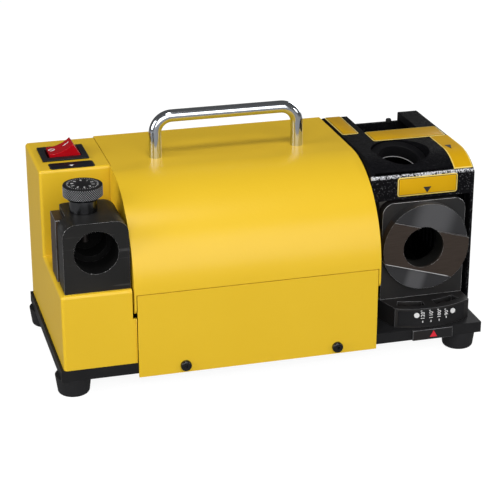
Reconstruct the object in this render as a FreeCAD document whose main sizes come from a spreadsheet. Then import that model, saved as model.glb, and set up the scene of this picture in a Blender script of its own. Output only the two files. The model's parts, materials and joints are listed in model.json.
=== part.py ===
"""Bench drill bit sharpener: motor housing, grinding head, setting gauge and swivelling point angle seat.

Millimetres. X runs along the machine, Y from the front to the back, Z up from the floor.
"""
import FreeCAD, Part
import Sketcher
import math
import os
import re

SIZES = {
    # Base and feet
    "base_length": 322, "base_depth": 150, "plate_thickness": 8.4, "foot_height": 14.3, "foot_radius": 13.2,
    "foot_taper": 1.8, "foot_inset_left": 10.3, "foot_inset_right": 13.4, "foot_inset_y": 13,
    "foot_round": 2.5, "foot_well": 5, "foot_well_depth": 7, "bolt_radius": 2.5, "bolt_head": 4.5,
    "bolt_head_height": 3.5, "bolt_clearance": 0.15,
    # Sheet metal body
    "body_height": 123.9, "housing_setback": 2, "housing_width": 52.9, "housing_wall": 2,
    "step_height": 57.5, "step_depth": 79.9, "edge_round": 2.5, "sheet": 1.5, "seam_height": 52.9,
    "lid_seam_gap": 0.6, "panel_gap": 1.2, "panel_skirt": 2.7, "panel_lip": 8, "cover_gap": 0.4,
    "cheek_gap": 0.5, "tab_drop": 15, "tab_gap": 1.2, "tab_slot_gap": 3, "tab_round": 5,
    "screw_pitch": 115.6, "screw_shift": 1.8, "screw_head": 4.1, "screw_dome": 3, "screw_round": 1.5,
    "screw_radius": 2, "screw_length": 14, "screw_socket": 1.3, "screw_socket_depth": 1.6,
    # Lid hinge
    "lid_lip": 8, "hinge_barrel": 1.5, "hinge_pin_radius": 0.8, "hinge_fit": 0.05, "hinge_gap": 1.8,
    "hinge_leaf": 1, "hinge_leaf_reach": 7, "hinge_inset": 10, "knuckle_count": 5, "knuckle_gap": 0.5,
    # Handle
    "handle_span": 110, "handle_rod": 4.65, "handle_rise": 31.1, "handle_bend": 12.8, "handle_setback": 10.1,
    "handle_shift": 0.6, "handle_stud": 3, "handle_stud_length": 9, "nut_corner": 5.6, "nut_height": 5,
    "fit_gap": 0.05,
    # Motor and spindle
    "spindle_height": 58.3, "spindle_setback": 103.5, "motor_inset": 8, "motor_radius": 42,
    "motor_wall": 3.5, "motor_length": 96, "bell_length": 12, "bell_wall": 3, "stator_length": 60,
    "stator_bore": 24, "rotor_gap": 0.6, "shaft_radius": 6, "shaft_tail": 5, "bearing_radius": 16,
    "running_fit": 0.03, "cradle_length": 70, "cradle_rise": 38, "cradle_depth": 80, "strap_width": 12,
    "strap_thickness": 1.5, "fan_radius": 34, "fan_disc": 3, "fan_blade": 9, "fan_blades": 6,
    "fan_offset": 6, "fan_hub": 11,
    # Grinding wheel
    "wheel_radius": 39, "wheel_back": 9, "wheel_back_drop": 5, "wheel_cone": 17, "wheel_cone_drop": 10.2,
    "flange_radius": 15, "flange_thickness": 4, "spindle_nut_corner": 10, "spindle_nut_height": 8,
    "spindle_end": 3,
    # Grinding head
    "head_width": 81.9, "head_gap": 1, "head_setback": 27.5, "head_back_gap": 1, "head_left_wall": 4,
    "head_right_wall": 2, "head_back_wall": 3.5, "head_roof": 6, "head_brow": 39, "brow_drop": 10,
    "band_drop": 29, "band_thickness": 5, "left_wall_setback": 14, "right_wall_lift": 6.8,
    "right_wall_foot": 90, "notch_left": 21, "notch_right": 17, "notch_front": 104, "notch_drop": 7.5,
    "shelf_thickness": 7, "shaft_hole_gap": 2.5, "head_foot": 14, "head_foot_height": 8, "vent_count": 12,
    "vent_pitch": 8, "vent_width": 2.6, "vent_rise": 21.5, "vent_height": 68, "vent_setback": 82.5,
    "head_round": 2,
    # Seats in the top of the head
    "holder_bore": 16, "port_radius": 22, "port_wall": 3, "relief_setback": 57, "relief_tilt": 20,
    "relief_depth": 9, "seat_ring_length": 11, "thinning_setback": 124, "thinning_tilt": 12,
    "shelf_reach": 8,
    # Swivelling point angle seat
    "swivel_inset": 40, "swivel_setback": 66, "swivel_lift": 0.3, "sector_radius": 65,
    "sector_height": 15.5, "sector_left": 37, "sector_right": 33, "corner_lean": 73, "corner_bearing": 24.5,
    "corner_reach": 65.8, "neck_width": 40, "hub_radius": 15, "pivot_radius": 4, "slot_radius": 55,
    "slot_reach": 3.8, "slot_narrow": 2.4, "slot_step": 7, "slot_angle": 15, "swing_left": 7,
    "swing_right": 5, "slot_margin": 4.5, "clamp_head": 3.4, "clamp_head_height": 4, "clamp_radius": 2,
    "plate_width": 66, "plate_height": 77.3, "seat_plate_depth": 8, "seat_plate_setback": 25.5,
    "plate_round": 9, "ring_radius": 34, "ring_depth": 7.5, "ring_hub": 21, "bore_shift": 2.3,
    "ramp_chord": 19.4, "ramp_chord_top": 13.8, "ramp_tilt": 16.4, "ramp_depth": 3, "seat_screw_pitch": 48,
    "seat_screw_depth": 12, "scale_thickness": 0.8, "scale_left": 25.5, "scale_right": 28,
    "scale_margin": 2, "rivet_radius": 2, "rivet_height": 0.7, "rivet_drop": 4.7, "rivet_left": 10.8,
    "rivet_right": 14.9, "pointer_width": 32, "pointer_thickness": 2, "pointer_height": 8.2,
    # Drill setting gauge
    "gauge_inset": 3.5, "gauge_width": 47, "gauge_depth": 46.5, "gauge_height": 51.8, "gauge_round": 10,
    "gauge_bore_height": 29.5, "gauge_bore_depth": 24, "tip_bore": 12, "tip_bore_depth": 40,
    "side_plate": 6.8, "side_plate_proud": 1, "side_plate_drop": 5, "side_plate_depth": 22, "side_slit": 3,
    "dial_setback": 27.5, "dial_shift": 3.35, "sleeve_radius": 9.9, "sleeve_height": 8.9,
    "dial_radius": 14.3, "dial_height": 10.5, "dial_chamfer": 2.6, "dial_lift": 0.3, "dial_screw_radius": 4,
    "dial_shoulder": 3, "stud_radius": 2, "stud_length": 5.5, "stop_radius": 2.5, "stop_head": 7,
    "stop_tip": 22, "stop_gap": 0.3, "gauge_screw_pitch": 26, "gauge_screw_setback": 24,
    "gauge_screw_depth": 10,
    # Switch and electrics
    "bezel_length": 34.9, "bezel_width": 31.5, "bezel_height": 1.6, "bezel_inset": 6, "bezel_setback": 99,
    "switch_border": 2.2, "switch_depth": 22, "switch_gap": 0.4, "rocker_border": 5.6, "rocker_side": 6.8,
    "rocker_gap": 0.8, "rocker_pivot": 1.2, "rocker_rise": 7, "rocker_taper": 2.2, "rocker_dish": 2,
    "rocker_skirt": 3.6, "rocker_root": 6, "rocker_root_inset": 4.5, "rocker_tilt": 20, "inlet_width": 30,
    "inlet_height": 24, "inlet_proud": 2.5, "inlet_border": 3, "inlet_depth": 18, "inlet_rise": 24,
    "inlet_floor": 2, "inlet_pin_width": 2, "inlet_pin_height": 4, "inlet_pin_pitch": 7,
    "inlet_pin_length": 11, "capacitor_radius": 15, "capacitor_length": 46, "capacitor_setback": 14,
    "clip_length": 14, "clip_wall": 3, "clip_floor": 3, "terminal_length": 32, "terminal_depth": 16,
    "terminal_height": 12, "terminal_setback": 95, "terminal_ridge": 4,
    # Storage tray
    "tray_inset": 4, "tray_depth": 56, "tray_height": 38, "tray_wall": 1.5, "tray_setback": 1,
}

doc = FreeCAD.newDocument("drill_sharpener")
sheet = doc.addObject("Spreadsheet::Sheet", "Dim")
for row, (alias, value) in enumerate(SIZES.items(), start=1):
    sheet.set(f"A{row}", alias)
    sheet.set(f"B{row}", str(value))
    sheet.setAlias(f"B{row}", alias)
doc.recompute()

# Places that several pieces share, worked out from the sizes
PLATE_LEFT = "((foot_radius - foot_inset_left - base_length) / 2)"
LEFT = f"({PLATE_LEFT} + housing_setback)"
RIGHT = f"({PLATE_LEFT} + base_length)"
FRONT = "(0 - base_depth / 2)"
BACK = "(base_depth / 2)"
DECK = "(foot_height + plate_thickness)"
ROOF = f"({DECK} + body_height)"
STEP = f"({DECK} + step_height)"
SEAM = f"({DECK} + seam_height)"
HOUSING_RIGHT = f"({LEFT} + housing_width)"
UPPER_FRONT = f"({FRONT} + step_depth)"
PANEL_LEFT = f"({HOUSING_RIGHT} + panel_gap)"
HEAD_LEFT = f"({RIGHT} - head_width)"
LID_RIGHT = f"({HEAD_LEFT} - head_gap)"
PANEL_RIGHT = f"({LID_RIGHT} - sheet - cheek_gap)"
PANEL_MIDDLE = f"(({PANEL_LEFT} + {PANEL_RIGHT}) / 2)"
PANEL_FACE = f"({FRONT} - sheet)"
COVER_FACE = f"({BACK} + sheet)"
LID_LEFT = f"({PANEL_LEFT} - cheek_gap - sheet)"
LID_RADIUS = "(body_height - seam_height)"
LID_CENTRE = f"({PANEL_FACE} + {LID_RADIUS})"
HINGE_Y = f"({COVER_FACE} + hinge_barrel)"
HINGE_Z = f"({ROOF} - lid_lip - hinge_gap)"
SPINDLE_Y = f"({FRONT} + spindle_setback)"
SPINDLE_Z = f"({DECK} + spindle_height)"
MOTOR_LEFT = f"({PANEL_LEFT} + motor_inset + bell_length)"
MOTOR_RIGHT = f"({MOTOR_LEFT} + motor_length)"
HEAD_FRONT = f"({FRONT} + head_setback)"
HEAD_BACK = f"({BACK} - head_back_gap)"
CAVITY_LEFT = f"({HEAD_LEFT} + head_left_wall)"
CAVITY_RIGHT = f"({RIGHT} - head_right_wall)"
CAVITY_BACK = f"({HEAD_BACK} - head_back_wall)"
SWIVEL_X = f"({RIGHT} - swivel_inset)"
SWIVEL_Y = f"({FRONT} + swivel_setback)"
RIM_X = f"({SWIVEL_X} - wheel_back)"
SECTOR_LOW = f"({DECK} + swivel_lift)"
SECTOR_TOP = f"({SECTOR_LOW} + sector_height)"
SEAT_FACE = f"({FRONT} + seat_plate_setback)"
GAUGE_LEFT = f"({LEFT} + gauge_inset)"
GAUGE_FRONT = f"({FRONT} + gauge_inset)"
GAUGE_MIDDLE = f"({GAUGE_LEFT} + gauge_width / 2)"
GAUGE_BACK = f"({GAUGE_FRONT} + gauge_depth)"
GAUGE_TOP = f"({STEP} + gauge_height)"
DIAL_X = f"({GAUGE_MIDDLE} - dial_shift)"
DIAL_Y = f"({GAUGE_FRONT} + dial_setback)"
SLEEVE_TOP = f"({GAUGE_TOP} + sleeve_height)"
SWITCH_X = f"({LEFT} + bezel_inset + bezel_length / 2)"
SWITCH_Y = f"({FRONT} + bezel_setback + bezel_width / 2)"
SCREW_Z = "(foot_height + plate_thickness / 2 - panel_skirt / 2)"
OVER = 1
NEAR = 0.01

AXES = {"x": FreeCAD.Vector(1, 0, 0), "y": FreeCAD.Vector(0, 1, 0), "z": FreeCAD.Vector(0, 0, 1)}
UPRIGHT = FreeCAD.Rotation()
LYING = {"x": FreeCAD.Rotation(AXES["y"], 90), "y": FreeCAD.Rotation(AXES["x"], -90), "z": UPRIGHT}
NODES = []


def size(alias):
    """The value of one size in the spreadsheet."""
    return float(sheet.get(alias))


def bound(text):
    """An expression in which every size points at its spreadsheet cell."""
    return re.sub(r"\b[a-z][a-z_]*\b", r"Dim.\g<0>", str(text))


def place(item, x, y, z, rotation=UPRIGHT):
    """Turn an object and bind its place to the sizes."""
    item.Placement = FreeCAD.Placement(FreeCAD.Vector(), rotation)
    for axis, text in zip("xyz", (x, y, z)):
        item.setExpression(f"Placement.Base.{axis}", bound(text))
    return item


def block(x, y, z):
    """A box between a low and a high limit along each axis."""
    item = doc.addObject("Part::Box", "block")
    for side, (low, high) in zip(("Length", "Width", "Height"), (x, y, z)):
        item.setExpression(side, bound(f"{high} - ({low})"))
    return place(item, x[0], y[0], z[0])


def rod(axis, radius, along, across, sweep=None, turn=0):
    """A cylinder along an axis between two limits, whole or swept through an angle from a start angle."""
    item = doc.addObject("Part::Cylinder", "rod")
    item.setExpression("Radius", bound(radius))
    item.setExpression("Height", bound(f"{along[1]} - ({along[0]})"))
    if sweep is not None:
        item.setExpression("Angle", bound(sweep))
    centre = list(across)
    centre.insert("xyz".index(axis), along[0])
    return place(item, *centre, LYING[axis].multiply(FreeCAD.Rotation(AXES["z"], turn)))


def hexagon(axis, corner, along, across):
    """A six-sided prism along an axis, measured to its corners."""
    item = doc.addObject("Part::Prism", "hexagon")
    item.Polygon = 6
    item.setExpression("Circumradius", bound(corner))
    item.setExpression("Height", bound(f"{along[1]} - ({along[0]})"))
    centre = list(across)
    centre.insert("xyz".index(axis), along[0])
    return place(item, *centre, LYING[axis])


def fuse(*items):
    """Several objects as one solid."""
    item = doc.addObject("Part::MultiFuse", "fuse")
    item.Shapes = list(items)
    item.Refine = True
    return item


def cut(base, *tools):
    """An object with others taken out of it."""
    item = doc.addObject("Part::Cut", "cut")
    item.Base = base
    item.Tool = tools[0] if len(tools) == 1 else fuse(*tools)
    item.Refine = True
    return item


def common(first, second):
    """What two objects share."""
    item = doc.addObject("Part::Common", "common")
    item.Base = first
    item.Tool = second
    item.Refine = True
    return item


def rounded(base, radius, chosen):
    """An object with its chosen edges rounded; an edge is chosen by its middle and its direction."""
    doc.recompute()
    item = doc.addObject("Part::Fillet", "rounded")
    item.Base = base
    picked = []
    for number, edge in enumerate(base.Shape.Edges, start=1):
        middle = edge.valueAt((edge.FirstParameter + edge.LastParameter) / 2)
        ends = [vertex.Point for vertex in edge.Vertexes]
        run = (ends[-1] - ends[0]) if len(ends) == 2 else FreeCAD.Vector()
        if chosen(middle, run):
            picked.append((number, size(radius), size(radius)))
    item.Edges = picked
    return item


def runs_along(run, axis):
    """Whether an edge runs along one axis."""
    return run.Length > 0 and abs(run.dot(AXES[axis])) > 0.999 * run.Length


def arched(base, radius):
    """A block with its two top edges that run from front to back rounded."""
    doc.recompute()
    top = base.Shape.BoundBox.ZMax
    return rounded(base, radius, lambda middle, run: runs_along(run, "y") and abs(middle.z - top) < NEAR)


def group(items):
    """Separate solids that share one node."""
    item = doc.addObject("Part::Compound", "group")
    item.Links = list(items)
    return item


def node(name, item):
    """Name an object as a finished sub-part."""
    item.Label = name
    NODES.append(item)
    return item


def turned(name, axis, x, y, z, profile):
    """A body turned about an axis from a closed profile of radius and length pairs."""
    body = doc.addObject("PartDesign::Body", name)
    sketch = body.newObject("Sketcher::SketchObject", f"{name}_profile")
    plane = next(feature for feature in body.Origin.OriginFeatures if feature.Role == "XZ_Plane")
    sketch.AttachmentSupport = [(plane, "")]
    sketch.MapMode = "FlatFace"
    count = len(profile)
    guess = [FreeCAD.Vector(2 + math.cos(2 * math.pi * i / count), math.sin(2 * math.pi * i / count), 0)
             for i in range(count)]
    for i in range(count):
        sketch.addGeometry(Part.LineSegment(guess[i], guess[(i + 1) % count]))
    for i in range(count):
        sketch.addConstraint(Sketcher.Constraint("Coincident", i, 2, (i + 1) % count, 1))
    for i, (radius, length) in enumerate(profile):
        for kind, text, start in (("DistanceX", radius, guess[i].x), ("DistanceY", length, guess[i].y)):
            number = sketch.addConstraint(Sketcher.Constraint(kind, -1, 1, i, 1, start))
            sketch.setExpression(f"Constraints[{number}]", bound(text))
    spin = body.newObject("PartDesign::Revolution", f"{name}_spin")
    spin.Profile = sketch
    spin.ReferenceAxis = (sketch, ["V_Axis"])
    spin.Angle = 360
    body.Tip = spin
    return node(name, place(body, x, y, z, LYING[axis]))


def foot_places():
    """The centres of the four feet."""
    for x in (f"{PLATE_LEFT} + foot_inset_left", f"{RIGHT} - foot_inset_right"):
        for y in (f"{FRONT} + foot_inset_y", f"{BACK} - foot_inset_y"):
            yield x, y


# Base plate, rubber feet and their bolts
HEAD_BOLTS = [(f"{HEAD_LEFT} + head_foot / 2", f"{SPINDLE_Y} - head_foot"),
              (f"{HEAD_LEFT} + head_foot / 2", f"{HEAD_BACK} - head_foot"),
              (SWIVEL_X, f"{HEAD_BACK} - head_foot / 2")]
CLAMPS = [-size("slot_angle"), size("slot_angle")]


def clamp_place(angle):
    """The centre of a clamp screw, at an angle about the swivel from straight ahead."""
    across = math.sin(math.radians(angle))
    ahead = math.cos(math.radians(angle))
    return f"{SWIVEL_X} + slot_radius * {across}", f"{SWIVEL_Y} - slot_radius * {ahead}"


def base():
    plate = block((PLATE_LEFT, RIGHT), (FRONT, BACK), ("foot_height", DECK))
    through = (f"foot_height - {OVER}", f"{DECK} + {OVER}")
    holes = [rod("z", "bolt_radius + bolt_clearance", through, place_xy)
             for place_xy in [*foot_places(), *HEAD_BOLTS]]
    edge_holes = screw_holes(FRONT, 1, "screw_length") + screw_holes(BACK, -1, "screw_length")
    node("base_plate", cut(plate, *holes, *edge_holes))


def feet():
    pads = []
    bolts = []
    for x, y in foot_places():
        cone = doc.addObject("Part::Cone", "foot")
        cone.setExpression("Radius1", bound("foot_radius - foot_taper"))
        cone.setExpression("Radius2", bound("foot_radius"))
        cone.setExpression("Height", bound("foot_height"))
        place(cone, x, y, "0")
        soft = rounded(cone, "foot_round", lambda middle, run: middle.z < NEAR and run.Length == 0)
        well = rod("z", "foot_well", (f"0 - {OVER}", "foot_well_depth"), (x, y))
        hole = rod("z", "bolt_radius + bolt_clearance", ("0", f"foot_height + {OVER}"), (x, y))
        pads.append(cut(soft, well, hole))
        head = rod("z", "bolt_head", ("foot_well_depth - bolt_head_height", "foot_well_depth"), (x, y))
        shank = rod("z", "bolt_radius", ("foot_well_depth", DECK), (x, y))
        bolts.append(fuse(head, shank))
    node("rubber_feet", group(pads))
    node("foot_screws", group(bolts))


# Sheet metal body
def left_housing():
    low = block((LEFT, HOUSING_RIGHT), (FRONT, BACK), (DECK, STEP))
    tall = block((LEFT, HOUSING_RIGHT), (UPPER_FRONT, BACK), (DECK, ROOF))
    outer = fuse(low, tall)
    doc.recompute()
    limits = outer.Shape.BoundBox
    fold = limits.YMin + size("step_depth")
    step = limits.ZMin + size("step_height")

    def outside(middle, run):
        inner_fold = abs(middle.y - fold) < NEAR and abs(middle.z - step) < NEAR
        return middle.x < limits.XMax - NEAR and middle.z > limits.ZMin + NEAR and not inner_fold

    shell = rounded(outer, "edge_round", outside)
    hollow_x = (f"{LEFT} + housing_wall", f"{HOUSING_RIGHT} + {OVER}")
    hollow = block(hollow_x, (f"{FRONT} + housing_wall", f"{BACK} - housing_wall"),
                   (f"{DECK} - {OVER}", f"{STEP} - housing_wall"))
    attic = block(hollow_x, (f"{UPPER_FRONT} + housing_wall", f"{BACK} - housing_wall"),
                  (DECK, f"{ROOF} - housing_wall"))
    slot = block((f"{LID_LEFT} - tab_gap", f"{HOUSING_RIGHT} + {OVER}"), (f"{FRONT} - {OVER}", UPPER_FRONT),
                 (f"{SEAM} - tab_drop - tab_slot_gap", f"{STEP} + {OVER}"))
    switch_hole = block(
        (f"{SWITCH_X} - bezel_length / 2 + switch_border", f"{SWITCH_X} + bezel_length / 2 - switch_border"),
        (f"{SWITCH_Y} - bezel_width / 2 + switch_border", f"{SWITCH_Y} + bezel_width / 2 - switch_border"),
        (f"{ROOF} - housing_wall - {OVER}", f"{ROOF} + {OVER}"))
    inlet_half = "(inlet_width / 2 - inlet_border)"
    inlet_hole = block(
        (f"{GAUGE_MIDDLE} - {inlet_half}", f"{GAUGE_MIDDLE} + {inlet_half}"),
        (f"{BACK} - housing_wall - {OVER}", f"{BACK} + {OVER}"),
        (f"{DECK} + inlet_rise + inlet_border", f"{DECK} + inlet_rise + inlet_height - inlet_border"))
    screw_z = (f"{STEP} - housing_wall - {OVER}", f"{STEP} + {OVER}")
    screws = [rod("z", "bolt_radius + bolt_clearance", screw_z, centre) for centre in gauge_screw_places()]
    node("left_housing", cut(shell, hollow, attic, slot, switch_hole, inlet_hole, *screws))


def screw_places():
    return [(f"{PANEL_MIDDLE} + screw_shift + {side} * screw_pitch / 2", SCREW_Z) for side in (-1, 1)]


def side_screws(name, face, inward):
    """Domed screws through a face sheet into the edge of the base plate."""
    solids = []
    for centre in screw_places():
        outer = f"{face} - {inward} * screw_dome"
        inner = f"{face} + {inward} * screw_length"
        head_run = (outer, face) if inward > 0 else (face, outer)
        shank_run = (face, inner) if inward > 0 else (inner, face)
        head = rod("y", "screw_head", head_run, centre)
        tip = size("base_depth") / 2 + size("sheet") + size("screw_dome")
        dome = rounded(head, "screw_round",
                       lambda middle, run: abs(abs(middle.y) - tip) < NEAR and run.Length == 0)
        floor = f"{outer} + {inward} * screw_socket_depth"
        mouth = f"{outer} - {inward} * {OVER}"
        socket = hexagon("y", "screw_socket", (mouth, floor) if inward > 0 else (floor, mouth), centre)
        solids.append(cut(fuse(dome, rod("y", "screw_radius", shank_run, centre)), socket))
    node(name, group(solids))


def screw_holes(face, inward, depth):
    """Clearance holes for the domed screws."""
    run = (f"{face} - {OVER}", f"{face} + {depth}")
    if inward < 0:
        run = (f"{face} - ({depth})", f"{face} + {OVER}")
    return [rod("y", "screw_radius + bolt_clearance", run, centre) for centre in screw_places()]


def front_panel():
    skin = block((PANEL_LEFT, PANEL_RIGHT), (PANEL_FACE, FRONT), ("foot_height - panel_skirt", SEAM))
    lip = block((PANEL_LEFT, PANEL_RIGHT), (FRONT, f"{FRONT} + panel_lip"), (f"{SEAM} - sheet", SEAM))
    node("front_panel", cut(fuse(skin, lip), *screw_holes(PANEL_FACE, 1, f"sheet + {OVER}")))


def rear_cover():
    wall = block((f"{HOUSING_RIGHT} + cover_gap", LID_RIGHT), (BACK, COVER_FACE),
                 ("foot_height - panel_skirt", f"{HINGE_Z} - hinge_gap"))
    node("rear_cover", cut(wall, *screw_holes(COVER_FACE, -1, f"sheet + {OVER}")))


def lid_form(x, radius, front, back, low, high):
    """A quarter round front that runs into a flat top."""
    barrel = common(rod("x", radius, x, (LID_CENTRE, SEAM)), block(x, (front, LID_CENTRE), (low, high)))
    return fuse(barrel, block(x, (LID_CENTRE, back), (low, high)))


def lid():
    cheek_back = f"{UPPER_FRONT} - cheek_gap"
    outer = lid_form((LID_LEFT, LID_RIGHT), LID_RADIUS, PANEL_FACE, cheek_back,
                     f"{SEAM} + lid_seam_gap", ROOF)
    inner_x = (f"{LID_LEFT} + sheet", f"{LID_RIGHT} - sheet")
    inner = lid_form(inner_x, f"{LID_RADIUS} - sheet", f"{PANEL_FACE} + sheet", f"{cheek_back} + {OVER}",
                     SEAM, f"{ROOF} - sheet")
    top_x = (f"{HOUSING_RIGHT} + cover_gap", LID_RIGHT)
    top = block(top_x, (LID_CENTRE, COVER_FACE), (f"{ROOF} - sheet", ROOF))
    lip = block(top_x, (BACK, COVER_FACE), (f"{ROOF} - lid_lip", ROOF))
    tabs = []
    for x in ((LID_LEFT, f"{LID_LEFT} + sheet"), (f"{LID_RIGHT} - sheet", LID_RIGHT)):
        tab = block(x, (PANEL_FACE, LID_CENTRE), (f"{SEAM} - tab_drop", f"{SEAM} + lid_seam_gap"))
        doc.recompute()
        floor = tab.Shape.BoundBox.ZMin
        tabs.append(rounded(tab, "tab_round",
                            lambda middle, run: runs_along(run, "x") and abs(middle.z - floor) < NEAR))
    legs = [rod("z", "handle_stud + bolt_clearance", (f"{ROOF} - sheet - {OVER}", f"{ROOF} + {OVER}"), centre)
            for centre in handle_feet()]
    node("lid", cut(fuse(cut(outer, inner), top, lip, *tabs), *legs))


def hinge():
    low = f"({PANEL_LEFT} + hinge_inset)"
    pitch = f"(({PANEL_RIGHT} - {PANEL_LEFT} - 2 * hinge_inset) / knuckle_count)"
    high = f"({low} + knuckle_count * {pitch})"
    axis = (HINGE_Y, HINGE_Z)
    leaf_y = (COVER_FACE, f"{COVER_FACE} + hinge_leaf")
    bore = rod("x", "hinge_pin_radius + hinge_fit", (f"{low} - {OVER}", f"{high} + {OVER}"), axis)
    leaves = {
        "hinge_leaf_fixed": (0, (f"{HINGE_Z} - hinge_leaf_reach", f"{HINGE_Z} - hinge_gap"),
                             (f"{HINGE_Z} - hinge_gap", HINGE_Z)),
        "hinge_leaf_moving": (1, (f"{HINGE_Z} + hinge_gap", f"{HINGE_Z} + hinge_leaf_reach"),
                              (HINGE_Z, f"{HINGE_Z} + hinge_gap")),
    }
    for name, (first, leaf_z, neck_z) in leaves.items():
        solids = [block((low, high), leaf_y, leaf_z)]
        for number in range(first, int(size("knuckle_count")), 2):
            x = (f"{low} + {number} * {pitch} + knuckle_gap / 2",
                 f"{low} + {number + 1} * {pitch} - knuckle_gap / 2")
            solids.append(rod("x", "hinge_barrel", x, axis))
            solids.append(block(x, leaf_y, neck_z))
        node(name, cut(fuse(*solids), bore))
    node("hinge_pin", rod("x", "hinge_pin_radius", (low, high), axis))


# Carrying handle
def handle_feet():
    y = f"{UPPER_FRONT} + handle_setback"
    return [(f"{PANEL_MIDDLE} - handle_shift + {side} * handle_span / 2", y) for side in (-1, 1)]


def handle():
    (left, y), (right, _) = handle_feet()
    rod_z = f"{ROOF} + handle_rise"
    solids = [rod("x", "handle_rod", (f"{left} + handle_bend", f"{right} - handle_bend"), (y, rod_z))]
    for x, centre_x, start in ((left, f"{left} + handle_bend", 180), (right, f"{right} - handle_bend", 270)):
        solids.append(rod("z", "handle_rod", (ROOF, f"{rod_z} - handle_bend"), (x, y)))
        solids.append(rod("z", "handle_stud", (f"{ROOF} - sheet - handle_stud_length", ROOF), (x, y)))
        bend = doc.addObject("Part::Torus", "bend")
        bend.setExpression("Radius1", bound("handle_bend"))
        bend.setExpression("Radius2", bound("handle_rod"))
        bend.Angle3 = 90
        lean = FreeCAD.Rotation(AXES["x"], -90).multiply(FreeCAD.Rotation(AXES["z"], start))
        solids.append(place(bend, centre_x, y, f"{rod_z} - handle_bend", lean))
    node("handle", fuse(*solids))
    nuts = []
    for centre in handle_feet():
        nut = hexagon("z", "nut_corner", (f"{ROOF} - sheet - nut_height", f"{ROOF} - sheet"), centre)
        hole = rod("z", "handle_stud + fit_gap", (f"{ROOF} - sheet - nut_height - {OVER}", ROOF), centre)
        nuts.append(cut(nut, hole))
    node("handle_nuts", group(nuts))


# Motor
def motor():
    axis = (SPINDLE_Y, SPINDLE_Z)
    tube = rod("x", "motor_radius", (MOTOR_LEFT, MOTOR_RIGHT), axis)
    bore = rod("x", "motor_radius - motor_wall", (f"{MOTOR_LEFT} - {OVER}", f"{MOTOR_RIGHT} + {OVER}"), axis)
    node("motor_case", cut(tube, bore))
    bearings = []
    left_end = f"{MOTOR_LEFT} - bell_length"
    right_end = f"{MOTOR_RIGHT} + bell_length"
    ends = {"motor_bell_left": (left_end, MOTOR_LEFT, f"{left_end} + bell_wall", MOTOR_LEFT),
            "motor_bell_right": (MOTOR_RIGHT, right_end, MOTOR_RIGHT, f"{right_end} - bell_wall")}
    for name, (low, high, seat_low, seat_high) in ends.items():
        disc = rod("x", "motor_radius", (low, high), axis)
        seat = rod("x", "bearing_radius + fit_gap", (seat_low, seat_high), axis)
        hole = rod("x", "shaft_radius + shaft_hole_gap", (f"{low} - {OVER}", f"{high} + {OVER}"), axis)
        node(name, cut(disc, seat, hole))
        ring = rod("x", "bearing_radius", (seat_low, seat_high), axis)
        bearings.append(cut(ring, shaft_eye(seat_low, seat_high)))
    node("bearings", group(bearings))
    core = (f"({MOTOR_LEFT} + motor_length / 2 - stator_length / 2)",
            f"({MOTOR_LEFT} + motor_length / 2 + stator_length / 2)")
    stator = rod("x", "motor_radius - motor_wall - fit_gap", core, axis)
    gap = rod("x", "stator_bore", (f"{core[0]} - {OVER}", f"{core[1]} + {OVER}"), axis)
    node("stator_core", cut(stator, gap))
    rotor = rod("x", "stator_bore - rotor_gap", core, axis)
    node("rotor_core", cut(rotor, shaft_eye(*core)))
    cradle = block((f"{MOTOR_LEFT} + motor_length / 2 - cradle_length / 2",
                    f"{MOTOR_LEFT} + motor_length / 2 + cradle_length / 2"),
                   (f"{SPINDLE_Y} - cradle_depth / 2", f"{SPINDLE_Y} + cradle_depth / 2"),
                   (DECK, f"{DECK} + cradle_rise"))
    bed = rod("x", "motor_radius + fit_gap", (MOTOR_LEFT, MOTOR_RIGHT), axis)
    node("motor_cradle", cut(cradle, bed))
    straps = []
    for side in (-1, 1):
        centre = f"{MOTOR_LEFT} + motor_length / 2 + {side} * (cradle_length / 2 - strap_width)"
        x = (f"{centre} - strap_width / 2", f"{centre} + strap_width / 2")
        band = cut(rod("x", "motor_radius + fit_gap + strap_thickness", x, axis),
                   rod("x", "motor_radius + fit_gap", (f"{x[0]} - {OVER}", f"{x[1]} + {OVER}"), axis))
        below = block(x, (f"{SPINDLE_Y} - base_depth", f"{SPINDLE_Y} + base_depth"),
                      ("0", f"{DECK} + cradle_rise"))
        straps.append(cut(band, below))
    node("motor_straps", group(straps))


# Spindle and grinding wheel
def shaft_eye(low, high):
    """The hole that the shaft needs through a piece."""
    return rod("x", "shaft_radius + running_fit", (f"{low} - {OVER}", f"{high} + {OVER}"),
               (SPINDLE_Y, SPINDLE_Z))


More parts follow.
